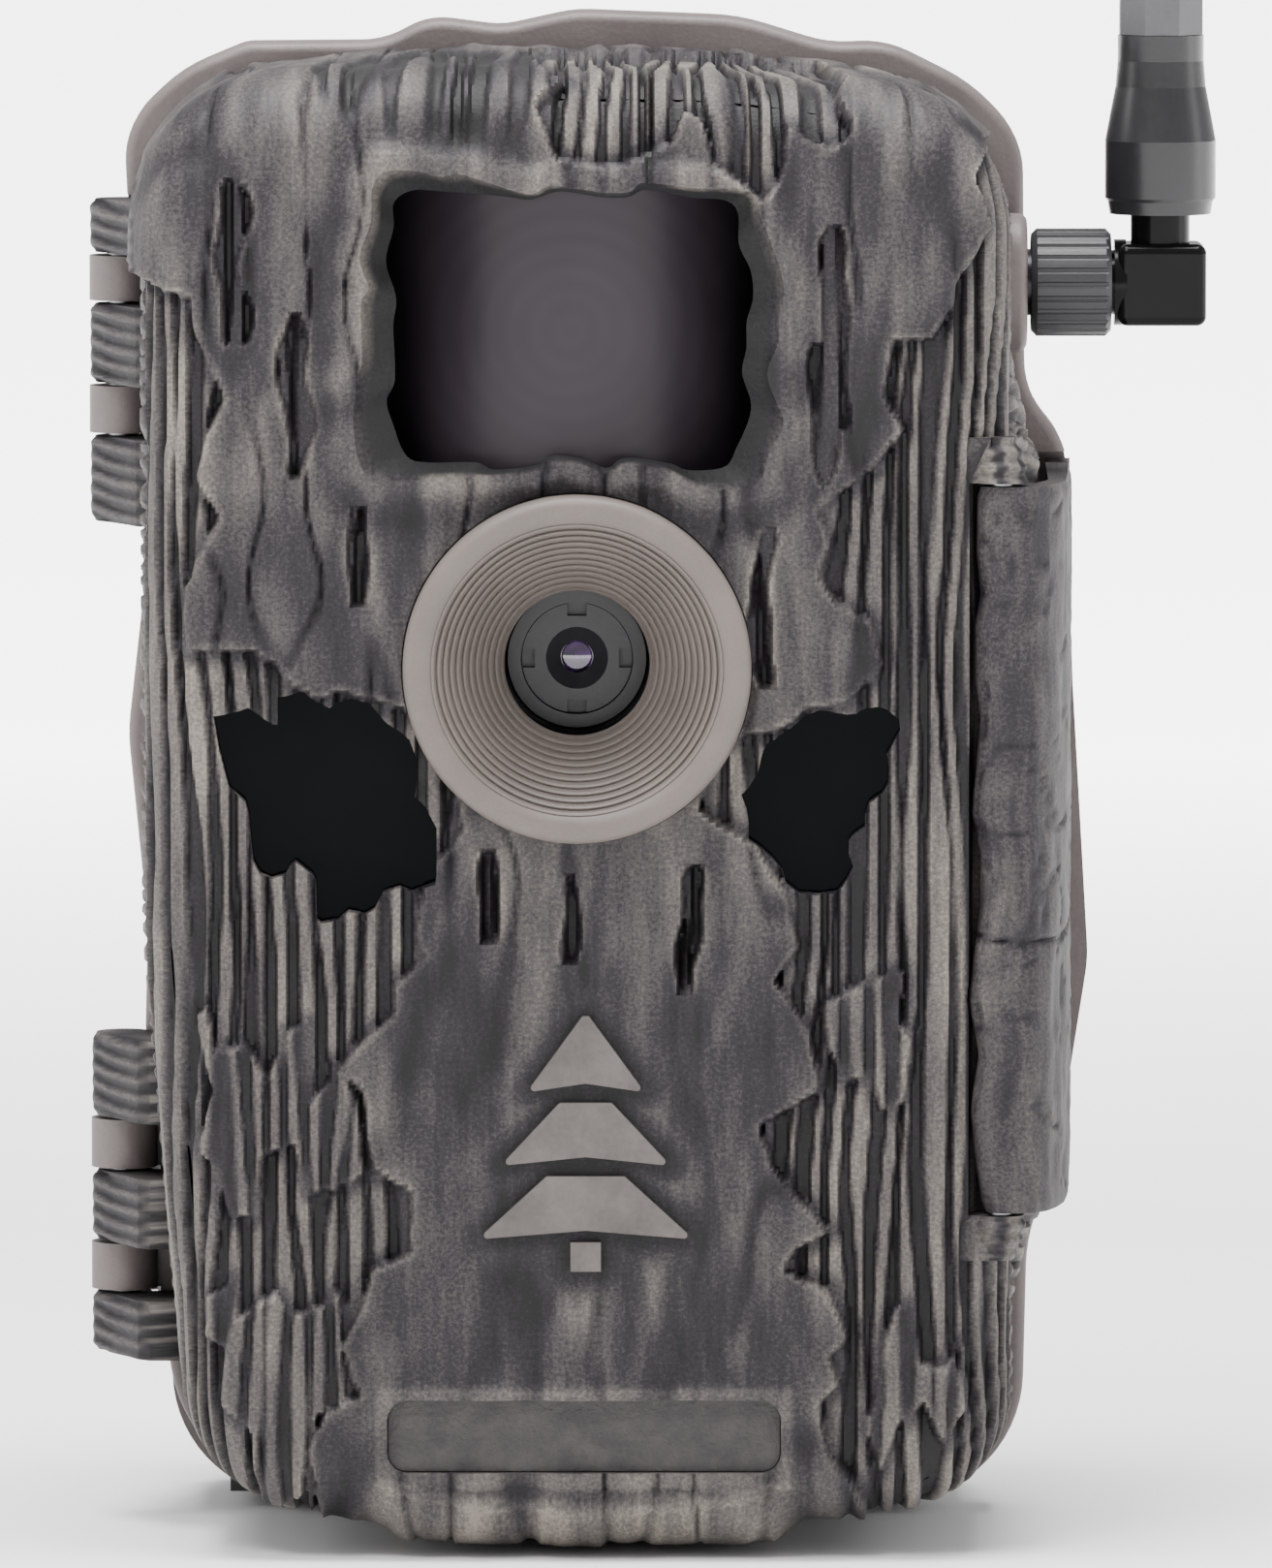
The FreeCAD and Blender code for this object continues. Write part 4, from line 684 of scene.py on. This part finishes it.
BARK = bark_material("bark_paint")
TAUPE = plastic("taupe_plastic", srgb(82, 74, 73), srgb(98, 90, 88), grain_size=0.45)
RING = plastic("ring_plastic", srgb(86, 79, 75), srgb(100, 92, 87), grain_size=0.35, grain_depth=0.00002)
EMBLEM = plastic(
    "emblem_plastic", srgb(68, 63, 61), srgb(92, 86, 83),
    size=0.5, grain_size=0.6, grain_depth=0.00009,
)
PLATE = plastic(
    "nameplate_plastic", srgb(34, 32, 33), srgb(60, 56, 55),
    size=0.3, grain_size=0.4, grain_depth=0.00012,
)
BLACK = plastic("black_plastic", srgb(26, 26, 28), srgb(38, 38, 40), rough=(0.36, 0.5), grain_depth=0.00002)
NUT = plastic("nut_plastic", srgb(29, 29, 31), srgb(40, 40, 42), rough=(0.38, 0.5), grain_depth=0.00002)
WHIP = plastic("whip_plastic", srgb(22, 22, 23), srgb(31, 31, 33), rough=(0.26, 0.36), grain_depth=0.00001)
BLADE = plastic("blade_plastic", srgb(62, 62, 64), srgb(76, 76, 78), rough=(0.3, 0.4), grain_depth=0.00001)
GLOSS = plastic(
    "gloss_black", srgb(8, 8, 9), srgb(13, 13, 14),
    rough=(0.14, 0.22), grain_depth=0.000004, shine=0.08,
)
SMOKED = plastic(
    "smoked_window", srgb(3, 4, 5), srgb(5, 7, 8),
    rough=(0.06, 0.1), grain_depth=0.000001, shine=0.02,
)
RUBBER = plastic("soft_black", srgb(30, 30, 32), srgb(44, 44, 46), rough=(0.6, 0.8), grain_depth=0.00003)
BOARD = plastic("solder_mask", srgb(14, 60, 34), srgb(22, 84, 48), rough=(0.3, 0.45), grain_depth=0.00002)
CHIP = plastic("chip_plastic", srgb(20, 20, 22), srgb(34, 34, 36), rough=(0.35, 0.5))
LAMP = plastic("lamp_resin", srgb(26, 20, 30), srgb(46, 36, 52), rough=(0.1, 0.2), grain_depth=0.000004)
CARD = plastic("card_plastic", srgb(26, 34, 58), srgb(36, 46, 76), rough=(0.35, 0.5))
SCREEN = plastic(
    "screen", srgb(60, 68, 62), srgb(78, 88, 80),
    rough=(0.15, 0.25), grain_depth=0.000004,
)
CELL = plastic("cell_wrap", srgb(30, 32, 34), srgb(48, 50, 54), rough=(0.22, 0.35), grain_depth=0.00001)
STEEL = metal("steel", srgb(150, 150, 152), srgb(190, 190, 192))
TIN = metal("tinned", srgb(170, 170, 166), srgb(205, 205, 200), 0.35)
DARK_METAL = metal("dark_metal", srgb(40, 40, 42), srgb(60, 60, 62))
BRASS = metal("brass", srgb(170, 135, 70), srgb(208, 170, 98))


def fresnel_material():
    """The dark motion-sensor sheet with faint moulded rings."""
    s = Shader("fresnel_sheet")
    here = s.here()
    middle = (-0.001, 0.0, 0.1136)  # of the window, in metres
    centred = s.node("VectorMath", operation="SUBTRACT", i0=here, i1=middle).outputs[0]
    flat = s.node("Mapping", Vector=centred, Scale=(1.0, 0.0, 1.0)).outputs[0]
    distance = s.node("VectorMath", operation="LENGTH", i0=flat).outputs["Value"]
    rings = s.math("PINGPONG", distance, 0.0011)
    soft = s.math("MULTIPLY", rings, 900.0)
    drift = s.noise(here, 60.0, 2.0)
    mixed = s.math("ADD", s.math("MULTIPLY", soft, 0.12), s.math("MULTIPLY", drift, 0.8))
    s.shade.inputs["Specular IOR Level"].default_value = 0.25
    s.feed(s.shade, "Base_Color", s.ramp(mixed, [(0.25, srgb(34, 28, 34)), (0.75, srgb(46, 40, 45))]))
    s.feed(s.shade, "Roughness", s.node("MapRange", i0=drift, i3=0.42, i4=0.5).outputs[0])
    s.feed(s.shade, "Normal", s.bump(soft, 0.00003, 0.35))
    return s.material


FRESNEL = fresnel_material()


def optic_material():
    """Dark glass with a purple coating."""
    s = Shader("coated_glass")
    here = s.here()
    tint = s.ramp(s.noise(here, 900.0), [(0.35, srgb(18, 8, 30)), (0.65, srgb(70, 28, 92))])
    s.feed(s.shade, "Base_Color", tint)
    s.feed(s.shade, "Roughness", s.node("MapRange", i0=s.noise(here, 400.0), i3=0.03, i4=0.07).outputs[0])
    s.feed(s.shade, "Coat_Weight", 1.0)
    return s.material


OPTIC = optic_material()

FINISHES = (
    (TAUPE, ("rear_housing", "latch_keeper", "tree_bracket", "antenna_pad")),
    (EMBLEM, ("emblem",)),
    (PLATE, ("nameplate",)),
    (BLACK, ("rear_panel", "control_panel", "lens_barrel", "lens_retainer", "lens_holder", "pir_holder",
        "battery_tray")),
    (WHIP, ("antenna_boot",)),
    (BLADE, ("antenna_blade",)),
    (NUT, ("coupling_nut",)),
    (GLOSS, ("antenna_elbow",)),
    (SMOKED, ("ir_window_left", "ir_window_right")),
    (FRESNEL, ("pir_lens",)),
    (OPTIC, ("lens_glass", "lens_stack", "ir_cut_filter")),
    (SCREEN, ("lcd_window", "lcd_display")),
    (RUBBER, ("lens_seal", "door_seal", "power_switch", "button_ok", "button_up", "button_down",
        "button_left", "button_right")),
    (BOARD, ("image_board", "main_board", "ir_lamp_boards")),
    (CHIP, ("image_sensor", "tact_switches", "board_components")),
    (LAMP, ("ir_lamps",)),
    (CARD, ("memory_card",)),
    (CELL, ("battery_cells",)),
    (STEEL, ("hinge_pins", "latch_pin", "panel_screws", "rear_panel_screws", "bracket_screws")),
    (TIN, ("pir_sensor", "slide_switch_body", "modem_module", "usb_socket", "card_socket",
        "battery_contacts")),
    (DARK_METAL, ("sma_jack",)),
    (BRASS, ("tripod_insert",)),
    (BARK, ("front_cover", "latch_lever")),
    (RING, ("lens_ring",)),
)
for finish, node_names in FINISHES:
    for node_name in node_names:
        mesh = NODES[node_name].data
        if not mesh.materials:
            mesh.materials.append(finish)
        for index in range(len(mesh.materials)):
            mesh.materials[index] = finish


def dress(obj, material, body, node_name):
    """Gives a piece its one material, parents it to the body it moves with and hides the CAD node it stands
    for.
    """
    obj.data.materials.clear()
    obj.data.materials.append(material)
    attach(obj, body)
    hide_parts(node_name)
    return obj


# ---- front half
def spaced(stops):
    """Sorted grid lines through (start, spacing) stretches; the last pair gives the end."""
    lines = []
    for (start, gap), (end, _) in zip(stops, stops[1:]):
        lines.extend(np.linspace(start, end, max(1, round((end - start) / gap)), endpoint=False))
    return np.array([*lines, stops[-1][0]])


def open_rim(cells):
    """The loop of corners round the open edge of a sheet of faces."""
    edges = {}
    for face in cells:
        for p, q in zip(face, np.roll(face, -1)):
            edges[(p, q)] = True
    following = {q: p for p, q in edges if (q, p) not in edges}
    first = next(iter(following))
    rim, at = [first], following[first]
    while at != first:
        rim.append(at)
        at = following[at]
    return rim


def skin_solid():
    """The displaced outside of the front half, closed by a flat cap at the seam."""
    columns = spaced([(-72, 0.95), (-43, 0.33), (43, 0.95), (72, 0)])
    rows = spaced([(-29, 1.0), (0, 0.47), (141, 1.0), (170, 0)])
    a, b = np.meshgrid(columns, rows)
    place, normal, d = roll(a, b)
    relief, _ = bark(a, b)
    broad, lip = swell(a, b)
    edge_fade = step(WRAP, WRAP - 1.0, d)
    under = step(1.0, -3.0, b) * step(19.0, 22.5, np.abs(a - 0.6))
    relief = relief * (1 - 0.9 * lip) * (0.35 + 0.65 * edge_fade) * (1 - 0.8 * under) - 0.2 * lip + broad
    verts = place + normal * relief[..., None]
    verts[..., 2] = np.maximum(verts[..., 2], 0.02)
    h, w = a.shape
    cells = []
    within = d < WRAP
    for r in range(h - 1):
        for c in range(w - 1):
            if within[r, c] or within[r, c + 1] or within[r + 1, c] or within[r + 1, c + 1]:
                cells.append((r * w + c, r * w + c + 1, (r + 1) * w + c + 1, (r + 1) * w + c))
    used = np.unique(np.array(cells))
    renumber = np.full(h * w, -1)
    renumber[used] = np.arange(len(used))
    cells = renumber[np.array(cells)]
    faces = [tuple(int(i) for i in face) for face in [*cells, open_rim(cells)]]
    return tidy(make("front_skin", verts.reshape(-1, 3)[used], faces))


def knuckle_reach(angle):
    """How far a knuckle and the foot that fairs it into the wall reach from its middle at an angle."""
    foot = [
        (-3.0, -0.35), (-2.75, -1.5), (-1.7, -3.6), (0.6, -7.4), (2.0, -10.5), (6.0, -10.5), (6.0, -0.35),
    ]
    centre = np.array(KNUCKLE_SHIFT)
    u = np.array((math.cos(angle), math.sin(angle)))
    reach = -centre @ u + math.sqrt(max((centre @ u) ** 2 - centre @ centre + KNUCKLE_R ** 2, 0))
    for (ax, ay), (bx, by) in zip(foot, foot[1:] + foot[:1]):
        e = np.array((bx - ax, by - ay))
        den = u[0] * e[1] - u[1] * e[0]
        if abs(den) > 1e-9:
            rel = np.array((ax, ay)) - centre
            t = (rel[0] * e[1] - rel[1] * e[0]) / den
            along_edge = (rel[0] * u[1] - rel[1] * u[0]) / den
            if t > 0 and -1e-6 <= along_edge <= 1 + 1e-6:
                reach = max(reach, t)
    return reach


def knuckle_solid(z):
    """A ribbed hinge knuckle faired into the wall."""
    count = 56
    angles = np.linspace(0, 2 * math.pi, count, endpoint=False)
    reach = np.array([knuckle_reach(angle) for angle in angles])
    rib_depth = np.where(np.sin(angles) < 0.05, 1.0, 0.25)
    middle_x, middle_y = HINGE_X + KNUCKLE_SHIFT[0], HINGE_Y + KNUCKLE_SHIFT[1]
    rings = []
    for level in np.linspace(z[0], z[1], max(8, int((z[1] - z[0]) / 0.22))):
        round_off = 0.5 * (step(0.7, 0.0, level - z[0]) + step(0.7, 0.0, z[1] - level))
        rib = 0.2 * knuckle_ribs(level, angles) + 0.12 * noise(np.full(count, level * 1.1), angles * 1.5, 3)
        r = reach + rib * rib_depth - round_off - 0.12
        flat = np.stack([middle_x + r * np.cos(angles), middle_y + r * np.sin(angles)], 1)
        rings.append(at_z(flat, level))
    return loft("knuckle", rings)


def hollow(cover, front):
    """Clears the inside from one y back to the open side."""
    combine(cover, loft("cavity", [at_y(inset_outline(WALL), y) for y in (front, 0.0)]), "DIFFERENCE")


def cut_windows(cover):
    """The motion-sensor opening with its sloped wavy wall, and the two infrared openings."""
    outer, inner = resample(PIR_OUTER, 240), resample(PIR_INNER, 240)
    flared = outer + (outer - outer.mean(0)) * 0.03
    sloped = inner * 0.35 + outer * 0.65
    levels = ((flared, -38.5), (outer, -36.9), (sloped, -35.4), (inner, -33.2), (inner, -28.0))
    combine(cover, loft("pir_cut", [at_y(flat, y) for flat, y in levels]), "DIFFERENCE")
    for name, outline in (("ir_left_cut", IR_LEFT), ("ir_right_cut", IR_RIGHT)):
        ring = np.array(outline)
        combine(cover, loft(name, [at_y(ring, -39.0), at_y(ring, -30.0)]), "DIFFERENCE")


def cut_seats(cover):
    """The lens ring's seat and hole, the nameplate's recess and the rear knuckles' pockets."""
    seat = cylinder_y("ring_seat", RING_SEAT_R, LENS_X, LENS_Z, -39.0, RING_SEAT_Y)
    combine(cover, seat, "DIFFERENCE")
    combine(cover, cylinder_y("lens_cut", LENS_HOLE_R, LENS_X, LENS_Z, -39.0, -30.0), "DIFFERENCE")
    plate = rounded_box(*RECESS_X, *RECESS_Z, RECESS_CORNER)
    combine(cover, loft("plate_cut", [at_y(plate, -38.5), at_y(plate, -35.0)]), "DIFFERENCE")
    for z0, z1 in REAR_KNUCKLES:
        pocket = cylinder_z("pocket", POCKET_R, HINGE_X, HINGE_Y, z0 - POCKET_PLAY, z1 + POCKET_PLAY)
        combine(cover, pocket, "DIFFERENCE")


def add_lever_seat(cover):
    """The two ribbed lugs that hold the lever's pin, and the room in which its lip turns."""
    low, high = LATCH_Z
    for near, far in ((low - LATCH_PLAY, low - LUG_LENGTH), (high + LATCH_PLAY, high + LUG_LENGTH)):
        steps = []
        for z in sorted(np.linspace(near, far, 26)):
            away = (z - near) / (far - near)
            r = 2.3 - 1.1 * away ** 2 + 0.17 * math.sin(z * 2 * math.pi / 1.4)
            steps.append(at_z(disc(r, *LATCH_PIN, 40), z))
        combine(cover, loft("lug", steps), "UNION")
    room = []
    for z in [low - LATCH_PLAY, *np.linspace(low, high, 90), high + LATCH_PLAY]:
        r = max(3.2, LATCH_PIN[0] - float(latch_edge(z)) + 0.4)
        room.append(at_z(disc(r, *LATCH_PIN, 64), z))
    combine(cover, loft("lip_room", room), "DIFFERENCE")


def build_cover():
    """The front half: displaced skin, hollow inside, knuckles, openings and seats."""
    cover = skin_solid()
    hollow(cover, FACE_Y + WALL)
    lugs_z = (LATCH_Z[0] - LUG_LENGTH, LATCH_Z[1] + LUG_LENGTH)
    combine(cover, block("backing", (31.6, 37.6), (-35.0, -26.5), lugs_z), "UNION")
    for z in FRONT_KNUCKLES:
        combine(cover, knuckle_solid(z), "UNION")
    hollow(cover, -12.0)
    cut_windows(cover)
    cut_seats(cover)
    add_lever_seat(cover)
    jack = disc(JACK_HOLE_R, ANTENNA_Y, ANTENNA_Z, 48)
    combine(cover, loft("jack_hole", [at_x(jack, 30.0), at_x(jack, 46.0)]), "DIFFERENCE")
    mark_bark(cover)
    tidy(cover, 42)
    return dress(cover, BARK, "front", "front_cover")


def inset_outline(inset):
    """The front half's outline, drawn in."""
    points = []
    for piece in SKIN:
        if piece[0] == "arc":
            centre, r, first, last = piece[1:]
            a0 = math.atan2(*(first - centre)[::-1])
            a1 = math.atan2(*(last - centre)[::-1])
            sweep = (a1 - a0 + math.pi) % (2 * math.pi) - math.pi
            turned = a0 + sweep * np.linspace(0, 1, 24)
            points.extend(np.stack([np.cos(turned), np.sin(turned)], 1) * (r - inset) + centre)
    return np.array(points)


def rounded_box(x0, x1, z0, z1, r):
    """A rectangle with rounded corners."""
    corners = ((x1 - r, z1 - r, 0), (x0 + r, z1 - r, 90), (x0 + r, z0 + r, 180), (x1 - r, z0 + r, 270))
    points = []
    for cx, cz, start in corners:
        for k in range(9):
            angle = math.radians(start + 90 * k / 8)
            points.append((cx + r * math.cos(angle), cz + r * math.sin(angle)))
    return np.array(points)


def build_ring():
    """The lens ring with its rounded steps."""
    profile = [
        (13.4, -34.6), (13.4, -36.02), (16.0, -36.02), (16.0, -38.5), (15.85, -39.0), (15.5, -39.35),
        (15.0, -39.5), (14.3, -39.45), (13.6, -39.15),
    ]
    count, r0, r1, y0, y1 = 11, 13.5, 7.0, -39.0, -30.8
    for i in range(count):
        for t, bump in ((0.08, 0.0), (0.25, 0.16), (0.5, 0.24), (0.72, 0.12), (0.86, -0.16), (0.96, -0.2)):
            f = (i + t) / count
            profile.append((r0 + (r1 - r0) * f, y0 + (y1 - y0) * f ** 1.12 - bump))
    profile += [(6.9, -30.7), (6.7, -30.4), (6.7, -30.0), (8.3, -30.0)]
    ring = lathe_loop("lens_ring_visual", profile, (LENS_X, LENS_Z), 200)
    tidy(ring, 50)
    return dress(ring, RING, "front", "lens_ring")


def lathe_loop(name, profile, centre, count):
    """Turns a closed profile of (radius, y) pairs about the lens axis."""
    rings = [at_y(disc(r, *centre, count), y) for r, y in profile]
    n, k = count, len(rings)
    faces = [(j * n + i, j * n + (i + 1) % n, ((j + 1) % k) * n + (i + 1) % n, ((j + 1) % k) * n + i)
             for j in range(k) for i in range(n)]
    return make(name, np.concatenate(rings), faces)


def latch_edge(z):
    """The lever's wavy front edge at each height."""
    return np.interp(z, [v for _, v in LATCH_EDGE], [u for u, _ in LATCH_EDGE])


def lever_section(x_edge):
    """The lever's section at one height, from its front edge round the outside and back inside."""
    outer_end, inner_end, tip_y = 46.0, 43.7, 4.9
    outside = [
        (x_edge, -33.4), (x_edge, -34.7), (x_edge + 0.3, -35.5), (x_edge + 1.1, -36.2), (40.2, -36.35),
        (41.9, -35.7), (43.2, -34.0), (44.2, -31.0), (45.1, -26.5), (45.5, -18.0), (outer_end, -2.0),
        (outer_end, tip_y - 0.4),
    ]
    inside = [
        (outer_end - 0.4, tip_y), (inner_end, tip_y), (43.5, -2.0), (43.25, -18.0), (43.1, -26.0),
        (41.8, -30.0), (40.3, -31.6), (39.6, -32.2), (38.6, -32.0), (37.4, -32.4),
    ]
    return np.array(outside + inside), len(outside) - 1


def build_latch():
    """The lever: a bark skin over the front right edge, with a plain inside."""
    count, on_skin = 100, 74
    crease_z = 57.6
    rings, across = [], []
    for z in np.linspace(LATCH_Z[0], LATCH_Z[1], 150):
        key, last_outside = lever_section(latch_edge(z))
        loop = np.vstack([key, key[:1]])
        run = np.concatenate([[0], np.cumsum(np.linalg.norm(np.diff(loop, axis=0), axis=1))])
        skin_end = run[last_outside]
        skin = np.linspace(0, skin_end, on_skin, endpoint=False)
        where = np.concatenate([skin, np.linspace(skin_end, run[-1], count - on_skin, endpoint=False)])
        flat = np.stack([np.interp(where, run, loop[:, k]) for k in range(2)], 1)
        tangent = np.roll(flat, -1, 0) - np.roll(flat, 1, 0)
        tangent /= np.linalg.norm(tangent, axis=1)[:, None] + 1e-9
        normal = np.stack([tangent[:, 1], -tangent[:, 0]], 1)
        z_here = np.full(count, z)
        lump = 0.16 * noise(where / 3.0, z_here / 8, 51) + 0.1 * noise(where / 1.2, z_here / 4, 52)
        lump = lump + 0.08 * noise(where / 2, z_here / 1.4, 53)
        from_crease = z_here - crease_z - 0.5 * noise(where / 3, z_here * 0, 54)
        crease = -0.5 * step(0.45, 0.0, np.abs(from_crease))
        wander = 0.6 * noise(where, z_here / 3, 56)
        crack = -0.26 * step(0.09, 0.0, np.abs(noise(where / 3.0 + wander, z_here / 9, 55)))
        fade = step(0.0, 2.0, where) * step(skin_end, skin_end - 2.0, where) * (where < skin_end)
        ends = step(0.0, 0.8, z - LATCH_Z[0]) * step(0.0, 0.8, LATCH_Z[1] - z)
        bulge = (lump + crease + crack - 0.15) * fade * ends - 0.35 * (1 - ends) * (where < skin_end)
        rings.append(at_z(flat + normal * bulge[:, None], z))
        across.append(np.stack([where, z_here, 0.4 + 0.6 * lump + 0.8 * (crease + crack)], 1))
    lever = loft("latch_visual", rings)
    data = np.concatenate(across)
    store(lever, data[:, 0] + 300, data[:, 1], np.clip(data[:, 2], 0, 1), 0.0)
    tidy(lever, 50)
    return dress(lever, BARK, "latch", "latch_lever")


build_cover()
build_ring()
build_latch()


# ---- stage, lights and camera
def paper():
    """Pale paper that brightens away from the object, like a lit studio floor."""
    s = Shader("floor_paper")
    here = s.here()
    white = s.ramp(s.noise(here, 8.0), [(0.3, srgb(240, 240, 240)), (0.7, srgb(246, 246, 246))])
    s.feed(s.shade, "Base_Color", white)
    s.shade.inputs["Roughness"].default_value = 0.9
    s.shade.inputs["Emission Color"].default_value = (1, 1, 1, 1)
    split = s.node("SeparateXYZ", Vector=here)
    x, y = split.outputs[0], split.outputs[1]
    squared = s.math("ADD", s.math("MULTIPLY", x, x), s.math("MULTIPLY", y, y))
    glow = s.node("MapRange", i0=squared, i1=0.06, i2=0.7, i3=0.0, i4=4.6).outputs[0]
    s.feed(s.shade, "Emission_Strength", glow)
    return s.material


def add_stage():
    """A wide pale floor, seen out to its horizon from every side."""
    size = 14.0
    mesh = bpy.data.meshes.new("floor")
    corners = [(-size, -size, 0), (size, -size, 0), (size, size, 0), (-size, size, 0)]
    mesh.from_pydata(corners, [], [(0, 1, 2, 3)])
    floor = bpy.data.objects.new("floor", mesh)
    bpy.context.scene.collection.objects.link(floor)
    mesh.materials.append(paper())


def area_light(name, place, target, size, power):
    """A rectangular lamp that faces a target."""
    data = bpy.data.lights.new(name, "AREA")
    data.shape = "RECTANGLE"
    data.size, data.size_y = size
    data.energy = power
    light = bpy.data.objects.new(name, data)
    light.location = place
    light.rotation_euler = (Vector(target) - Vector(place)).to_track_quat("-Z", "Y").to_euler()
    bpy.context.scene.collection.objects.link(light)


def add_lights():
    world = bpy.data.worlds.new("studio")
    world.use_nodes = True
    world.node_tree.nodes["Background"].inputs[0].default_value = (1, 1, 1, 1)
    world.node_tree.nodes["Background"].inputs[1].default_value = 0.8
    bpy.context.scene.world = world
    middle = (0.0, 0.0, 0.08)
    area_light("key", (-0.35, -0.75, 1.1), middle, (0.45, 0.4), 12)
    area_light("top", (0.0, -0.1, 1.1), middle, (0.7, 0.5), 31)
    area_light("left_edge", (-1.1, -0.1, 0.4), middle, (0.35, 0.9), 4)
    area_light("right_edge", (1.1, -0.1, 0.4), middle, (0.35, 0.9), 3)


def add_camera():
    """A long lens a little above the object's middle, looking slightly down."""
    distance, tilt, seen_width = 1.5, math.radians(5.0), 0.11686
    data = bpy.data.cameras.new("view")
    data.sensor_fit = "HORIZONTAL"
    data.sensor_width = 36.0
    data.lens = data.sensor_width * distance / seen_width
    data.shift_x = 0.043
    camera = bpy.data.objects.new("view", data)
    target = Vector((0.0, -0.036, 0.0721))
    away = Vector((0.0, -math.cos(tilt), math.sin(tilt)))
    camera.location = target + away * distance
    camera.rotation_euler = (-away).to_track_quat("-Z", "Y").to_euler()
    bpy.context.scene.collection.objects.link(camera)
    bpy.context.scene.camera = camera


add_stage()
add_lights()
add_camera()
